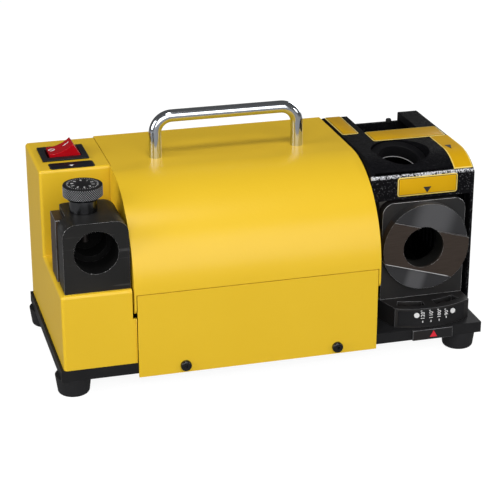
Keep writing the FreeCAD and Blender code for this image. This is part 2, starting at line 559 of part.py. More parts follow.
def spindle():
    axis = (SPINDLE_Y, SPINDLE_Z)
    wheel_left = f"({RIM_X} - wheel_back)"
    wheel_right = f"({RIM_X} + wheel_cone)"
    shaft_end = f"{wheel_right} + flange_thickness + spindle_nut_height + spindle_end"
    shaft_start = f"{MOTOR_LEFT} - bell_length - shaft_tail"
    node("motor_shaft", rod("x", "shaft_radius", (shaft_start, shaft_end), axis))
    eye = "shaft_radius + running_fit"
    turned("grinding_wheel", "x", RIM_X, SPINDLE_Y, SPINDLE_Z,
           [(eye, "0 - wheel_back"), ("wheel_radius - wheel_back_drop", "0 - wheel_back"),
            ("wheel_radius", "0"), ("wheel_radius - wheel_cone_drop", "wheel_cone"), (eye, "wheel_cone")])
    flanges = []
    for low, high in ((f"{wheel_left} - flange_thickness", wheel_left),
                      (wheel_right, f"{wheel_right} + flange_thickness")):
        flanges.append(cut(rod("x", "flange_radius", (low, high), axis), shaft_eye(low, high)))
    node("wheel_flanges", group(flanges))
    nut_low = f"{wheel_right} + flange_thickness"
    nut_high = f"{nut_low} + spindle_nut_height"
    node("wheel_nut", cut(hexagon("x", "spindle_nut_corner", (nut_low, nut_high), axis),
                          shaft_eye(nut_low, nut_high)))
    fan_low = f"({MOTOR_RIGHT} + bell_length + fan_offset)"
    fan_high = f"({fan_low} + fan_disc + fan_blade)"
    pieces = [rod("x", "fan_radius", (fan_low, f"{fan_low} + fan_disc"), axis),
              rod("x", "fan_hub", (fan_low, fan_high), axis)]
    blades = int(size("fan_blades"))
    for number in range(blades):
        blade = doc.addObject("Part::Box", "blade")
        blade.setExpression("Length", bound("fan_disc + fan_blade"))
        blade.setExpression("Width", bound("fan_radius"))
        blade.setExpression("Height", bound("fan_disc"))
        turn = FreeCAD.Rotation(AXES["x"], 360 * number / blades)
        pieces.append(place(blade, fan_low, SPINDLE_Y, SPINDLE_Z, turn))
    rim = rod("x", "fan_radius", (fan_low, fan_high), axis)
    node("cooling_fan", cut(common(fuse(*pieces), rim), shaft_eye(fan_low, fan_high)))


# Grinding head
def brow(x, inset):
    """What the quarter round brow takes off the front top edge, for a surface set in by a wall."""
    rise = size("head_brow") - size("brow_drop")
    reach = f"{math.sqrt(size('head_brow') ** 2 - rise ** 2)}"
    centre_y = f"({HEAD_FRONT} + {reach})"
    centre_z = f"({ROOF} - head_brow)"
    corner = block(x, (f"{HEAD_FRONT} - {OVER}", centre_y), (centre_z, f"{ROOF} + {OVER}"))
    return cut(corner, rod("x", f"head_brow - {inset}", (f"{x[0]} - {OVER}", f"{x[1]} + {OVER}"),
                           (centre_y, centre_z)))


NOTCH_LEFT = f"({HEAD_LEFT} + notch_left)"
NOTCH_RIGHT = f"({RIGHT} - notch_right)"
RELIEF = (RIM_X, "relief_setback", size("relief_tilt"))
THINNING = (f"({NOTCH_LEFT} + {NOTCH_RIGHT}) / 2", "thinning_setback", -size("thinning_tilt"))


def tilted_rod(radius, seat, low, high):
    """A cylinder on a seat's axis, which leans forward by a tilt, between two depths below the roof."""
    x, setback, tilt = seat
    drop_y = low * math.sin(math.radians(tilt))
    drop_z = low * math.cos(math.radians(tilt))
    item = doc.addObject("Part::Cylinder", "tilted")
    item.setExpression("Radius", bound(radius))
    item.Height = low - high
    return place(item, x, f"{FRONT} + {setback} + {drop_y}", f"{ROOF} - {drop_z}",
                 FreeCAD.Rotation(AXES["x"], tilt))


def head_walls():
    wide = (f"{HEAD_LEFT} - {OVER}", f"{RIGHT} + {OVER}")
    outer = cut(block((HEAD_LEFT, RIGHT), (HEAD_FRONT, HEAD_BACK), (DECK, ROOF)), brow(wide, "0"))
    doc.recompute()
    limits = outer.Shape.BoundBox

    def upper(middle, run):
        inside = limits.YMin + NEAR < middle.y and middle.z < limits.ZMax - NEAR
        return middle.z > limits.ZMax - size("brow_drop") - NEAR and not (inside and runs_along(run, "z"))

    soft = rounded(outer, "head_round", upper)
    inner_x = (CAVITY_LEFT, CAVITY_RIGHT)
    cavity = cut(block(inner_x, (f"{HEAD_FRONT} + band_thickness", CAVITY_BACK),
                       (f"{DECK} - {OVER}", f"{ROOF} - head_roof")), brow(inner_x, "head_roof"))
    below_band = (f"{DECK} - {OVER}", f"{ROOF} - band_drop")
    mouth = block(inner_x, (f"{HEAD_FRONT} - {OVER}", f"{HEAD_FRONT} + band_thickness + {OVER}"), below_band)
    left_front = block((f"{HEAD_LEFT} - {OVER}", CAVITY_LEFT),
                       (f"{HEAD_FRONT} - {OVER}", f"{HEAD_FRONT} + left_wall_setback"), below_band)
    under_wall = block((CAVITY_RIGHT, f"{RIGHT} + {OVER}"),
                       (f"{HEAD_FRONT} - {OVER}", f"{HEAD_BACK} - right_wall_foot"),
                       (f"{DECK} - {OVER}", f"{DECK} + right_wall_lift"))
    notch_x = (NOTCH_LEFT, NOTCH_RIGHT)
    notch_y = f"{FRONT} + notch_front"
    notch = block(notch_x, (notch_y, f"{BACK} + {OVER}"), (f"{ROOF} - notch_drop", f"{ROOF} + {OVER}"))
    well = block(notch_x, (notch_y, CAVITY_BACK), (f"{ROOF} - notch_drop - head_roof", f"{ROOF} + {OVER}"))
    ring_low = size("relief_depth") + size("seat_ring_length")
    port = tilted_rod("port_radius", RELIEF, ring_low + size("port_radius"), -size("port_radius"))
    boss = tilted_rod("port_radius + port_wall", RELIEF, ring_low, 0)
    shelf = block((f"{THINNING[0]} - port_radius - port_wall", f"{THINNING[0]} + port_radius + port_wall"),
                  (f"{notch_y} - shelf_reach", CAVITY_BACK),
                  (f"{ROOF} - notch_drop - head_roof - shelf_thickness", f"{ROOF} - notch_drop - head_roof"))
    shelf_top = size("notch_drop") + size("head_roof")
    thinning = tilted_rod("port_radius", THINNING, shelf_top + size("port_radius"),
                          shelf_top - size("head_roof"))
    foot_top = f"{DECK} + head_foot_height"
    feet_blocks = [
        block((HEAD_LEFT, f"{HEAD_LEFT} + head_foot"), (f"{SPINDLE_Y} - 2 * head_foot", HEAD_BACK),
              (DECK, foot_top)),
        block((f"{SWIVEL_X} - head_foot / 2", f"{SWIVEL_X} + head_foot / 2"),
              (f"{HEAD_BACK} - head_foot", HEAD_BACK), (DECK, foot_top))]
    bolt_z = (f"{DECK} - {OVER}", f"{foot_top} + {OVER}")
    bolt_holes = [rod("z", "bolt_radius + bolt_clearance", bolt_z, centre) for centre in HEAD_BOLTS]
    shaft_hole = rod("x", "shaft_radius + shaft_hole_gap",
                     (f"{HEAD_LEFT} - {OVER}", f"{CAVITY_LEFT} + {OVER}"), (SPINDLE_Y, SPINDLE_Z))
    vents = []
    count = int(size("vent_count"))
    for number in range(count):
        offset = number - (count - 1) / 2
        y = f"{FRONT} + vent_setback + {offset} * vent_pitch"
        vents.append(block((f"{CAVITY_RIGHT} - {OVER}", f"{RIGHT} + {OVER}"),
                           (f"{y} - vent_width / 2", f"{y} + vent_width / 2"),
                           (f"{DECK} + vent_rise", f"{DECK} + vent_rise + vent_height")))
    shell = cut(soft, cavity, mouth, left_front, under_wall)
    full = fuse(shell, common(boss, soft), *feet_blocks)
    opened = cut(full, notch, well)
    whole = cut(fuse(opened, shelf), port, thinning, shaft_hole, *bolt_holes, *vents)
    deep = (f"{HEAD_FRONT} - {OVER}", f"{HEAD_BACK} + {OVER}")
    tall = (f"{DECK} - {OVER}", f"{ROOF} - head_roof")
    left_wall = fuse(block((f"{HEAD_LEFT} - {OVER}", CAVITY_LEFT), deep, tall), feet_blocks[0])
    back_wall = fuse(block(inner_x, (CAVITY_BACK, f"{HEAD_BACK} + {OVER}"), tall), feet_blocks[1])
    side_cover = block((CAVITY_RIGHT, f"{RIGHT} + {OVER}"), deep, tall)
    for name, region in (("head_left_wall", left_wall), ("head_back_wall", back_wall),
                         ("head_side_cover", side_cover), ("thinning_shelf", shelf)):
        node(name, common(whole, region))
        whole = cut(whole, region)
    node("head_roof", whole)


def head_bolts():
    bolts = []
    for centre in HEAD_BOLTS:
        head = rod("z", "bolt_head", ("foot_height - bolt_head_height", "foot_height"), centre)
        shank = rod("z", "bolt_radius", ("foot_height", f"{DECK} + head_foot_height"), centre)
        bolts.append(fuse(head, shank))
    node("head_bolts", group(bolts))


def top_seats():
    for name, seat, top in (("relief_seat", RELIEF, size("relief_depth")),
                            ("thinning_seat", THINNING, size("notch_drop") + size("head_roof"))):
        low = top + size("seat_ring_length")
        ring = tilted_rod("port_radius - fit_gap", seat, low, top)
        bore = tilted_rod("holder_bore", seat, low + OVER, top - OVER)
        node(name, cut(ring, bore))


# Swivelling point angle seat
def sector_slot(angle):
    """A stepped arc slot for a clamp screw, wide at the top and narrow below."""
    start = angle - size("swing_right") - size("slot_margin")
    sweep = size("swing_left") + size("swing_right") + 2 * size("slot_margin")
    low = f"{SECTOR_LOW} - {OVER}"
    high = f"{SECTOR_TOP} + {OVER}"
    middle = f"{SECTOR_TOP} - slot_step"
    centre = (SWIVEL_X, SWIVEL_Y)
    pair = []
    for reach, bottom in (("slot_reach", middle), ("slot_narrow", low)):
        ring = rod("z", f"slot_radius + {reach}", (bottom, high), centre, f"{sweep}", start - 90)
        core = rod("z", f"slot_radius - {reach}", (f"{bottom} - {OVER}", f"{high} + {OVER}"), centre)
        pair.append(cut(ring, core))
    return fuse(*pair)


def swivel_base():
    centre = (SWIVEL_X, SWIVEL_Y)
    z = (SECTOR_LOW, SECTOR_TOP)
    plate_back = f"{SEAT_FACE} + seat_plate_depth"
    disc = rod("z", "sector_radius", z, centre)
    front = common(disc, block((f"{SWIVEL_X} - sector_left", f"{SWIVEL_X} + sector_right"),
                               (f"{SWIVEL_Y} - sector_radius - {OVER}", plate_back), z))
    lean = math.radians(size("corner_lean"))
    bearing = math.radians(size("corner_bearing"))
    corner = doc.addObject("Part::Box", "corner")
    for side in ("Length", "Width"):
        corner.setExpression(side, bound("sector_radius"))
    corner.setExpression("Height", bound(f"sector_height + {2 * OVER}"))
    reach_x = f"corner_reach * {math.sin(bearing)}"
    reach_y = f"corner_reach * {math.cos(bearing)}"
    place(corner, f"{SWIVEL_X} - {reach_x} - sector_radius * {math.cos(lean) + math.sin(lean)}",
          f"{SWIVEL_Y} - {reach_y} + sector_radius * {math.sin(lean) - math.cos(lean)}",
          f"{SECTOR_LOW} - {OVER}", FreeCAD.Rotation(AXES["z"], -size("corner_lean")))
    neck = block((f"{SWIVEL_X} - neck_width / 2", f"{SWIVEL_X} + neck_width / 2"), (SEAT_FACE, SWIVEL_Y), z)
    hub = rod("z", "hub_radius", z, centre)
    through = (f"{SECTOR_LOW} - {OVER}", f"{SECTOR_TOP} + {OVER}")
    eye = rod("z", "pivot_radius + running_fit", through, centre)
    well_z = (f"{SECTOR_LOW} - {OVER}", f"{SECTOR_LOW} + clamp_head_height")
    holes = [rod("z", "clamp_radius + bolt_clearance", through, screw) for screw in seat_screw_places()]
    wells = [rod("z", "clamp_head + bolt_clearance", well_z, screw) for screw in seat_screw_places()]
    node("swivel_base", cut(fuse(front, neck, hub), corner, eye, *holes, *wells,
                            *[sector_slot(angle) for angle in CLAMPS]))
    node("swivel_pin", rod("z", "pivot_radius", (DECK, f"{SECTOR_TOP} - {OVER}"), centre))


def seat_screw_places():
    y = f"{SEAT_FACE} + seat_plate_depth / 2"
    return [(f"{SWIVEL_X} + {side} * seat_screw_pitch / 2", y) for side in (-1, 1)]


def seat_plate():
    slab = block((f"{SWIVEL_X} - plate_width / 2", f"{SWIVEL_X} + plate_width / 2"),
                 (SEAT_FACE, f"{SEAT_FACE} + seat_plate_depth"), (SECTOR_TOP, f"{SECTOR_TOP} + plate_height"))
    soft = arched(slab, "plate_round")
    eye_y = (f"{SEAT_FACE} - {OVER}", f"{SEAT_FACE} + seat_plate_depth + {OVER}")
    eye = rod("y", "ring_hub + fit_gap", eye_y, (SWIVEL_X, SPINDLE_Z))
    hole_z = (f"{SECTOR_TOP} - {OVER}", f"{SECTOR_TOP} + seat_screw_depth")
    holes = [rod("z", "clamp_radius + bolt_clearance", hole_z, centre) for centre in seat_screw_places()]
    node("seat_plate", cut(soft, eye, *holes))
    screws = []
    for centre in seat_screw_places():
        head_top = f"{SECTOR_LOW} + clamp_head_height"
        head = rod("z", "clamp_head", (SECTOR_LOW, head_top), centre)
        shank = rod("z", "clamp_radius", (head_top, f"{SECTOR_TOP} + seat_screw_depth"), centre)
        screws.append(fuse(head, shank))
    node("seat_screws", group(screws))


def ramp(half_turn, chord):
    """One sunk segment of the ring's face: beyond a chord that leans, deepest at one end."""
    item = doc.addObject("Part::Box", "ramp")
    item.setExpression("Length", bound("4 * ring_radius"))
    item.setExpression("Width", bound("2 * ring_depth"))
    item.setExpression("Height", bound("2 * ring_radius"))
    slope = math.degrees(math.atan2(size("ramp_depth"), 2 * size("ring_radius")))
    reach = size("ring_radius")
    corner = FreeCAD.Vector(-2 * reach, -2 * size("ring_depth"), -2 * reach - size(chord))
    start = FreeCAD.Placement(corner, UPRIGHT)
    tip = FreeCAD.Placement(FreeCAD.Vector(reach, 0, 0), FreeCAD.Rotation(AXES["z"], -slope))
    back = FreeCAD.Placement(FreeCAD.Vector(-reach, 0, 0), UPRIGHT)
    turn = FreeCAD.Placement(FreeCAD.Vector(), FreeCAD.Rotation(AXES["y"], size("ramp_tilt") + half_turn))
    local = turn.multiply(tip.multiply(back.multiply(start)))
    face = f"{SEAT_FACE} - ring_depth"
    offset = local.Base
    return place(item, f"{SWIVEL_X} + {offset.x}", f"{face} + {offset.y}", f"{SPINDLE_Z} + {offset.z}",
                 local.Rotation)


def cam_ring():
    axis = (SWIVEL_X, SPINDLE_Z)
    face = f"{SEAT_FACE} - ring_depth"
    disc = rod("y", "ring_radius", (face, SEAT_FACE), axis)
    hub = rod("y", "ring_hub", (face, f"{SEAT_FACE} + seat_plate_depth"), axis)
    bore = rod("y", "holder_bore", (f"{face} - {OVER}", f"{SEAT_FACE} + seat_plate_depth + {OVER}"),
               (f"{SWIVEL_X} - bore_shift", SPINDLE_Z))
    node("cam_ring", cut(fuse(disc, hub), bore, ramp(0, "ramp_chord"), ramp(180, "ramp_chord_top")))


def scale():
    centre = (SWIVEL_X, SWIVEL_Y)
    z = (f"{SECTOR_LOW} + scale_margin", f"{SECTOR_TOP} - scale_margin")
    curve = cut(rod("z", "sector_radius + scale_thickness", z, centre),
                rod("z", "sector_radius", (f"{z[0]} - {OVER}", f"{z[1]} + {OVER}"), centre))
    window = block((f"{SWIVEL_X} - scale_left", f"{SWIVEL_X} + scale_right"),
                   (f"{SWIVEL_Y} - 2 * sector_radius", f"{SWIVEL_Y} - sector_radius / 2"), z)
    node("scale_plate", common(curve, window))
    rivets = []
    for angle in (-size("rivet_left"), size("rivet_right")):
        outward = FreeCAD.Rotation(AXES["z"], angle).multiply(FreeCAD.Rotation(AXES["x"], 90))
        across = math.sin(math.radians(angle))
        ahead = math.cos(math.radians(angle))
        rivet = doc.addObject("Part::Cylinder", "rivet")
        rivet.setExpression("Radius", bound("rivet_radius"))
        rivet.setExpression("Height", bound("rivet_height"))
        reach = "(sector_radius + scale_thickness)"
        place(rivet, f"{SWIVEL_X} + {reach} * {across}", f"{SWIVEL_Y} - {reach} * {ahead}",
              f"{SECTOR_TOP} - rivet_drop", outward)
        rivets.append(rivet)
    node("scale_rivets", group(rivets))


def clamps():
    screws = []
    for angle in CLAMPS:
        centre = clamp_place(angle)
        ledge = f"({SECTOR_TOP} - slot_step + swivel_lift)"
        shank = rod("z", "clamp_radius", (DECK, ledge), centre)
        head = rod("z", "clamp_head", (ledge, f"{ledge} + clamp_head_height"), centre)
        socket = hexagon("z", "screw_socket", (f"{ledge} + clamp_head_height - screw_socket_depth",
                                               f"{ledge} + clamp_head_height + {OVER}"), centre)
        screws.append(cut(fuse(shank, head), socket))
    node("clamp_screws", group(screws))
    node("pointer_block", block((f"{SWIVEL_X} - pointer_width / 2", f"{SWIVEL_X} + pointer_width / 2"),
                                (f"{FRONT} - pointer_thickness", FRONT),
                                (f"{DECK} - pointer_height - swivel_lift", f"{DECK} - swivel_lift")))


# Drill setting gauge
def gauge_screw_places():
    y = f"{GAUGE_FRONT} + gauge_screw_setback"
    return [(f"{GAUGE_MIDDLE} + {side} * gauge_screw_pitch / 2", y) for side in (-1, 1)]


def gauge():
    slab = block((GAUGE_LEFT, f"{GAUGE_LEFT} + gauge_width"), (GAUGE_FRONT, GAUGE_BACK), (STEP, GAUGE_TOP))
    soft = arched(slab, "gauge_round")
    bores = [rod("y", radius, (f"{GAUGE_FRONT} - {OVER}", f"{GAUGE_FRONT} + {depth}"),
                 (GAUGE_MIDDLE, f"{STEP} + gauge_bore_height"))
             for radius, depth in (("holder_bore", "gauge_bore_depth"), ("tip_bore", "tip_bore_depth"))]
    inner = f"({GAUGE_LEFT} - side_plate_proud + side_plate)"
    plate_front = f"({GAUGE_BACK} - side_plate_depth)"
    notch = block((f"{GAUGE_LEFT} - {OVER}", inner), (f"{plate_front} - side_slit", f"{GAUGE_BACK} + {OVER}"),
                  (f"{STEP} - {OVER}", f"{GAUGE_TOP} + {OVER}"))
    dial = (DIAL_X, DIAL_Y)
    well_z = (f"{STEP} + gauge_bore_height", f"{GAUGE_TOP} + {OVER}")
    well = rod("z", "dial_screw_radius + fit_gap", well_z, dial)
    hole_z = (f"{STEP} - {OVER}", f"{STEP} + gauge_screw_depth")
    holes = [rod("z", "bolt_radius + bolt_clearance", hole_z, centre) for centre in gauge_screw_places()]
    node("gauge_block", cut(soft, *bores, notch, well, *holes))
    node("gauge_side_plate", block((f"{GAUGE_LEFT} - side_plate_proud", inner), (plate_front, GAUGE_BACK),
                                   (STEP, f"{GAUGE_TOP} - side_plate_drop")))
    screws = []
    for centre in gauge_screw_places():
        ceiling = f"({STEP} - housing_wall)"
        head = rod("z", "bolt_head", (f"{ceiling} - bolt_head_height", ceiling), centre)
        shank = rod("z", "bolt_radius", (ceiling, f"{STEP} + gauge_screw_depth"), centre)
        screws.append(fuse(head, shank))
    node("gauge_screws", group(screws))
    tube = rod("z", "sleeve_radius", (GAUGE_TOP, SLEEVE_TOP), dial)
    node("dial_sleeve", cut(tube, rod("z", "dial_screw_radius + fit_gap",
                                      (f"{GAUGE_TOP} - {OVER}", f"{SLEEVE_TOP} + {OVER}"), dial)))


def dial():
    centre = (DIAL_X, DIAL_Y)
    rim = "dial_radius"
    turned("dial_knob", "z", DIAL_X, DIAL_Y, f"{SLEEVE_TOP} + dial_lift",
           [("dial_screw_radius + fit_gap", "0"), (f"{rim} - dial_chamfer", "0"), (rim, "dial_chamfer"),
            (rim, "dial_height - dial_chamfer / 2"), (f"{rim} - dial_chamfer / 2", "dial_height"),
            ("dial_screw_radius + fit_gap", "dial_height")])
    shoulder = f"({SLEEVE_TOP} - dial_shoulder)"
    screw_top = f"{SLEEVE_TOP} + dial_lift + dial_height"
    node("dial_screw", fuse(rod("z", "dial_screw_radius", (shoulder, screw_top), centre),
                            rod("z", "stud_radius", (f"{shoulder} - stud_length", shoulder), centre)))
    head_top = f"({shoulder} - stop_gap)"
    head_low = f"({head_top} - stop_head)"
    head = rod("z", "dial_screw_radius", (head_low, head_top), centre)
    tip = rod("z", "stop_radius", (f"{head_low} - stop_tip", head_low), centre)
    eye_z = (f"{shoulder} - stud_length - stop_gap", f"{head_top} + {OVER}")
    eye = rod("z", "stud_radius + fit_gap", eye_z, centre)
    node("stop_pin", cut(fuse(head, tip), eye))


# Switch and electrics
def switch():
    def span(centre, full, border):
        return f"{centre} - {full} / 2 + {border}", f"{centre} + {full} / 2 - {border}"

    bezel_top = f"({ROOF} + bezel_height)"
    bezel = block(span(SWITCH_X, "bezel_length", "0"), span(SWITCH_Y, "bezel_width", "0"), (ROOF, bezel_top))
    case_border = "(switch_border + switch_gap)"
    case = block(span(SWITCH_X, "bezel_length", case_border), span(SWITCH_Y, "bezel_width", case_border),
                 (f"{ROOF} - switch_depth", ROOF))
    well_border = "(rocker_border - rocker_gap)"
    well_side = "(rocker_side - rocker_gap)"
    well_floor = f"{bezel_top} - rocker_pivot - bezel_length / 2 + {well_border}"
    well = block(span(SWITCH_X, "bezel_length", well_border), span(SWITCH_Y, "bezel_width", well_side),
                 (well_floor, f"{bezel_top} + {OVER}"))
    node("switch_body", cut(fuse(bezel, case), well))
    half = "(bezel_length / 2 - rocker_border)"
    depth = ("0 - bezel_width / 2 + rocker_side", "bezel_width / 2 - rocker_side")
    top_half = f"({half} - rocker_taper)"
    wings = doc.addObject("Part::Wedge", "wings")
    for side, text in {"Xmin": f"0 - {half}", "Xmax": half, "X2min": f"0 - {top_half}", "X2max": top_half,
                       "Ymin": "0 - rocker_skirt", "Ymax": "rocker_rise", "Zmin": depth[0], "Zmax": depth[1],
                       "Z2min": depth[0], "Z2max": depth[1]}.items():
        wings.setExpression(side, bound(text))
    wings.Placement = FreeCAD.Placement(FreeCAD.Vector(), FreeCAD.Rotation(AXES["x"], 90))
    root = block((f"0 - {half} + rocker_root_inset", f"{half} - rocker_root_inset"), depth,
                 ("0 - rocker_root", "0 - rocker_skirt"))
    arc = f"(({top_half} * {top_half} + rocker_dish * rocker_dish) / (2 * rocker_dish))"
    dish = rod("y", arc, (f"{depth[0]} - {OVER}", f"{depth[1]} + {OVER}"),
               ("0", f"rocker_rise - rocker_dish + {arc}"))
    rocker = cut(fuse(wings, root), dish)
    lean = FreeCAD.Rotation(AXES["y"], -size("rocker_tilt"))
    node("switch_rocker", place(rocker, SWITCH_X, SWITCH_Y, f"{bezel_top} - rocker_pivot", lean))


def electrics():
    low = f"({DECK} + inlet_rise)"
    high = f"({low} + inlet_height)"
    left = f"({GAUGE_MIDDLE} - inlet_width / 2)"
    right = f"({GAUGE_MIDDLE} + inlet_width / 2)"
    proud = f"({BACK} + inlet_proud)"
    edge = "(inlet_border + switch_gap)"
    flange = block((left, right), (BACK, proud), (low, high))
    case = block((f"{left} + {edge}", f"{right} - {edge}"), (f"{BACK} - inlet_depth", BACK),
                 (f"{low} + {edge}", f"{high} - {edge}"))
    floor = f"({BACK} - inlet_depth + inlet_floor)"
    socket = block((f"{left} + {edge} + inlet_floor", f"{right} - {edge} - inlet_floor"),
                   (floor, f"{proud} + {OVER}"),
                   (f"{low} + {edge} + inlet_floor", f"{high} - {edge} - inlet_floor"))
    node("power_inlet", cut(fuse(flange, case), socket))
    pins = []
    for side in (-1, 0, 1):
        x = f"{GAUGE_MIDDLE} + {side} * inlet_pin_pitch"
        z = f"({low} + {high}) / 2"
        pins.append(block((f"{x} - inlet_pin_width / 2", f"{x} + inlet_pin_width / 2"),
                          (floor, f"{floor} + inlet_pin_length"),
                          (f"{z} - inlet_pin_height / 2", f"{z} + inlet_pin_height / 2")))
    node("inlet_pins", group(pins))
    can_z = f"({DECK} + clip_floor + capacitor_radius)"
    can_y = (f"{FRONT} + capacitor_setback", f"{FRONT} + capacitor_setback + capacitor_length")
    node("capacitor", rod("y", "capacitor_radius", can_y, (GAUGE_MIDDLE, can_z)))
    clip_y = f"({FRONT} + capacitor_setback + capacitor_length / 2)"
    clip_half = "(capacitor_radius + clip_wall)"
    saddle = block((f"{GAUGE_MIDDLE} - {clip_half}", f"{GAUGE_MIDDLE} + {clip_half}"),
                   (f"{clip_y} - clip_length / 2", f"{clip_y} + clip_length / 2"), (DECK, can_z))
    node("capacitor_clip", cut(saddle, rod("y", "capacitor_radius + fit_gap", can_y, (GAUGE_MIDDLE, can_z))))
    terminal_y = f"({FRONT} + terminal_setback)"
    x = (f"{GAUGE_MIDDLE} - terminal_length / 2", f"{GAUGE_MIDDLE} + terminal_length / 2")
    body = block(x, (terminal_y, f"{terminal_y} + terminal_depth"), (DECK, f"{DECK} + terminal_height"))
    ridge = block(x, (f"{terminal_y} + terminal_ridge", f"{terminal_y} + terminal_depth - terminal_ridge"),
                  (f"{DECK} + terminal_height", f"{DECK} + terminal_height + terminal_ridge"))
    node("terminal_block", fuse(body, ridge))


def storage_tray():
    x = (f"{PANEL_LEFT} + tray_inset", f"{PANEL_RIGHT} - tray_inset")
    y = (f"{FRONT} + tray_setback", f"{FRONT} + tray_setback + tray_depth")
    outer = block(x, y, (DECK, f"{DECK} + tray_height"))
    inner = block((f"{x[0]} + tray_wall", f"{x[1]} - tray_wall"),
                  (f"{y[0]} + tray_wall", f"{y[1]} - tray_wall"),
                  (f"{DECK} + tray_wall", f"{DECK} + tray_height + {OVER}"))
    node("storage_tray", cut(outer, inner))


base()
feet()
left_housing()
front_panel()
side_screws("panel_screws", PANEL_FACE, 1)
rear_cover()
side_screws("rear_screws", COVER_FACE, -1)
lid()
hinge()
handle()
motor()
spindle()
head_walls()
head_bolts()
top_seats()
swivel_base()
seat_plate()
cam_ring()
scale()
clamps()
gauge()
dial()
switch()
electrics()
storage_tray()

doc.recompute()
for item in doc.Objects:
    if "Invalid" in item.State or "Error" in item.State:
        raise RuntimeError(f"{item.Label} failed: {item.State}")
os.makedirs("parts", exist_ok=True)
for item in NODES:
    if item.Shape.isNull() or not item.Shape.isValid():
        raise RuntimeError(f"{item.Label} has no valid shape")
    item.Shape.exportStep(f"parts/{item.Label}.step")
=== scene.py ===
"""Looks of the bench drill bit sharpener: paint, steel, rubber, labels, dial numbers and rounded edges.

Metres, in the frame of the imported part. X runs along the machine, Y from the front to the back, Z up.
"""
import json
import math

import bpy
from mathutils import Euler, Matrix, Vector

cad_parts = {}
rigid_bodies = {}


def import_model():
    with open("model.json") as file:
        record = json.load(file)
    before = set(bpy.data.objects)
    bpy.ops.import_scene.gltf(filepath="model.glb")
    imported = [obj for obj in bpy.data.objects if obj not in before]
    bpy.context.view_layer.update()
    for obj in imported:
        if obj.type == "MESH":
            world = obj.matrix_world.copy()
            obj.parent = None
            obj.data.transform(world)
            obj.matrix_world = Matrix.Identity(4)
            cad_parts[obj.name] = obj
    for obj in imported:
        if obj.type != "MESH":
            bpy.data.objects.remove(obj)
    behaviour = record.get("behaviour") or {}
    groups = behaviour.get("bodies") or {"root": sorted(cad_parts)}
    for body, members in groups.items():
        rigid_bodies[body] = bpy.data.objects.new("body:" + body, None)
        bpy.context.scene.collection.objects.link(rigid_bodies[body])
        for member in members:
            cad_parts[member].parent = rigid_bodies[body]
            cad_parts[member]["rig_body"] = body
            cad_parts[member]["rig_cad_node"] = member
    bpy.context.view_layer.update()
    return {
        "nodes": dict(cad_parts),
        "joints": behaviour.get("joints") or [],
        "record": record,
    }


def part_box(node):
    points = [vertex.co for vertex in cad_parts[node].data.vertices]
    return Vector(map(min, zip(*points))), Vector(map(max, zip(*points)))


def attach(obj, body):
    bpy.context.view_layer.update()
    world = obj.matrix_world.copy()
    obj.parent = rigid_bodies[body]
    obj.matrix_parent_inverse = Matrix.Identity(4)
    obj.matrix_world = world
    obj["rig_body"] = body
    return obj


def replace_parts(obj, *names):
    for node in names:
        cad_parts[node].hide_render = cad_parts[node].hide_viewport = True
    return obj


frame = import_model()
MM = 0.001
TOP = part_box("head_roof")[1].z
HEAD_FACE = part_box("head_roof")[0].y
BORE = 0.0161  # a holder bore's radius, with a little of its wall
# painted shade: the black painted into the inside of holder bores
BORE_SHADE_BLACK = (0.0015, 0.0015, 0.0015)
WELD = 0.000004  # points nearer than this are merged
SHARP = math.radians(28)  # an edge that turns more than this is rounded
FLAT = math.radians(0.4)  # faces that turn less than this become one


def spot(x, y, z):
    """A point given in millimetres."""
    return Vector((x, y, z)) * MM


def joint_point(name):
    """The point that a joint turns about."""
    return Vector(next(joint["pos_m"] for joint in frame["joints"] if joint["name"] == name))


def mount_point(name):
    """The middle of a holder bore."""
    return Vector(next(mount["pos_m"] for mount in frame["record"]["mounts"] if mount["name"] == name))


# Materials
class Wire:
    """One value in a paint's node tree, so that its maths reads as plain sums."""

    def __init__(self, paint, socket):
        self.paint = paint
        self.socket = socket

    def math(self, kind, other, flip=False):
        pair = (other, self) if flip else (self, other)
        return self.paint.node("ShaderNodeMath", {"operation": kind}, {0: pair[0], 1: pair[1]})

    def __add__(self, other):
        return self.math("ADD", other)

    def __sub__(self, other):
        return self.math("SUBTRACT", other)

    def __mul__(self, other):
        return self.math("MULTIPLY", other)

    def __rsub__(self, other):
        return self.math("SUBTRACT", other, True)

    __radd__ = __add__
    __rmul__ = __mul__

    def ramp(self, low, high):
        """0 below the low limit, 1 above the high one and smooth between."""
        return self.paint.node("ShaderNodeMapRange", {"interpolation_type": "SMOOTHSTEP"},
                               {"Value": self, "From Min": low, "From Max": high})


